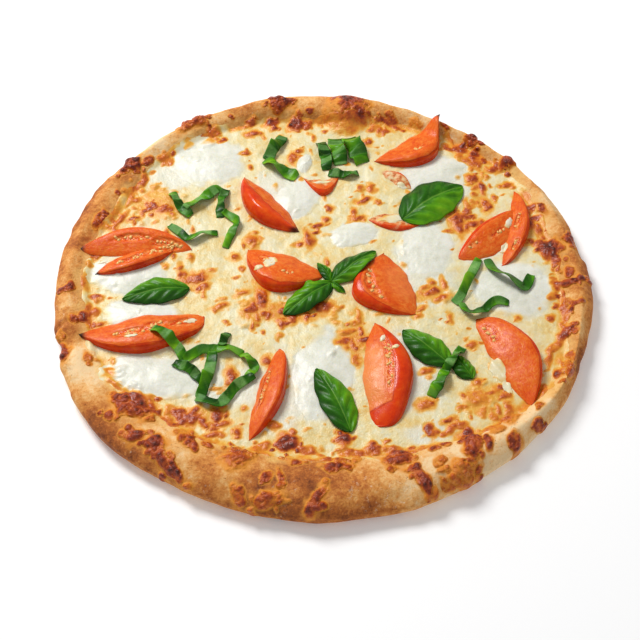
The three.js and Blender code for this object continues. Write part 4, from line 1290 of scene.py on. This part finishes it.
def build_shred(wide, rise, places, turn):
    """A narrow grid along the ribbon's way, draped, arched and twisted."""
    made, share, t = grid_piece(SHRED_ACROSS, SHRED_ALONG)
    line = through(places, t)
    ahead = through(places, np.minimum(t + 0.02, 1)) - through(places, np.maximum(t - 0.02, 0))
    ahead = ahead / np.linalg.norm(ahead, axis=1)[:, None]
    side = np.stack([ahead[:, 1], -ahead[:, 0]], axis=1)
    middle = np.sin(math.pi * t)
    half = 0.44 * wide * (0.7 + 0.3 * middle ** 0.5) * (1 + 0.06 * np.sin(17 * t + turn))
    tilt = 0.75 * np.sin(5 * t + turn) * middle
    flat = line + side * (share * half * np.cos(tilt))[:, None]
    rest = draped(table.heights(flat), share, t, SHRED_ACROSS, SHRED_ALONG, 40)
    arch = rise * middle * (0.6 + 0.4 * np.sin(6 * t + turn))
    curl = -0.9 * share ** 2 * np.cos(4 * t + turn)
    lift = np.abs(np.sin(tilt)) * half
    height = rest + SHRED_LIFT + arch + share * half * np.sin(tilt) + lift + curl * 0.6
    height += 0.25 * np.sin(31 * t + turn) * middle
    move_points(made, np.stack([flat[:, 0], flat[:, 1], height], axis=1))
    fold = (t * (2.2 + 0.7 * math.sin(turn)) + 0.13 * turn) % 1
    pale = ease(0.58, 0.62, fold) * ease(1.0, 0.96, fold) * (0.55 + 0.35 * math.sin(1.9 * turn))
    rib = (t * 5 + 0.35 * share + turn) % 1
    vein = 0.6 * ease(0.05, 0.01, np.abs(rib - 0.5))
    # Each ribbon's green differs; it is also painted lighter towards one edge and in waves along its
    # length: painted shade.
    tone = 0.42 + 0.3 * math.sin(2.4 * turn) + 0.25 * share + 0.2 * np.sin(9 * t + 2 * turn)
    return made, {"vein": vein, "quilt": 0.5 + 0.4 * np.cos(TURN * rib), "pale": pale, "tone": tone}


for number, (wide, rise, places) in enumerate(SHREDS, 1):
    made, measured = build_shred(wide, rise, places, number - 1)
    name = f"basil_ribbon_{number}"
    piece = serve(made, name, fresh_basil, f"basil_shred_{number}", measured)
    thicken(piece, LEAF_THICKNESS)
    table.add(made)

# The studio: a plain white floor, a broad soft light from the upper left behind the pizza, a
# weak one from the right, and an even white surround.
FLOOR_RADIUS = 3
floor = bmesh.new()
bmesh.ops.create_circle(floor, cap_ends=True, radius=FLOOR_RADIUS, segments=64)
floor_mesh = bpy.data.meshes.new("studio_floor")
floor.to_mesh(floor_mesh)
floor_piece = set_out("studio_floor", floor_mesh)
floor_paint = Recipe("white_floor")
off_white = floor_paint.mix(floor_paint.noise(400), (0.9, 0.9, 0.9, 1), (0.93, 0.93, 0.93, 1))
floor_mesh.materials.append(
    floor_paint.finish(
        Base_Color=off_white, Roughness=0.9, Emission_Color=(1, 1, 1, 1), Emission_Strength=0.14,
    )
)


def studio_light(name, place, aim, size, power):
    lamp = bpy.data.lights.new(name, "AREA")
    lamp.shape = "DISK"
    lamp.size = size
    lamp.energy = power
    holder = set_out(name, lamp)
    holder.location = place
    holder.rotation_euler = (Vector(aim) - Vector(place)).to_track_quat("-Z", "Y").to_euler()


studio_light("window_light", (-0.7, 0.8, 1.2), (0, 0, 0), 0.6, 23)
studio_light("fill_light", (1.1, -0.7, 1.2), (0, 0, 0), 1.4, 1.5)
world = bpy.data.worlds.new("white_surround")
world.use_nodes = True
surround = world.node_tree.nodes["Background"]
surround.inputs["Color"].default_value = (1, 1, 1, 1)
surround.inputs["Strength"].default_value = 0.38
bpy.context.scene.world = world
bpy.context.scene.view_settings.view_transform = "Standard"

# The camera: a long lens 0.8 m away, about 53 degrees above the table, turned a little about
# its own axis and aimed just in front of the middle.
CAMERA_RISE = math.radians(52.733)
CAMERA_ROLL = math.radians(-0.287)
CAMERA_DISTANCE = 0.8
CAMERA_LENS = 76.13
CAMERA_AIM = Vector((-0.00175, -0.01987, 0))
back = Vector((0, -math.cos(CAMERA_RISE), math.sin(CAMERA_RISE)))
level = Vector((1, 0, 0))
upward = back.cross(level)
right = level * math.cos(CAMERA_ROLL) + upward * math.sin(CAMERA_ROLL)
up = upward * math.cos(CAMERA_ROLL) - level * math.sin(CAMERA_ROLL)
lens = bpy.data.cameras.new("table_camera")
lens.lens = CAMERA_LENS
lens.sensor_width = 36
camera = set_out("table_camera", lens)
turn = Matrix((right, up, back)).transposed().to_4x4()
camera.matrix_world = Matrix.Translation(CAMERA_AIM + back * CAMERA_DISTANCE) @ turn
bpy.context.scene.camera = camera
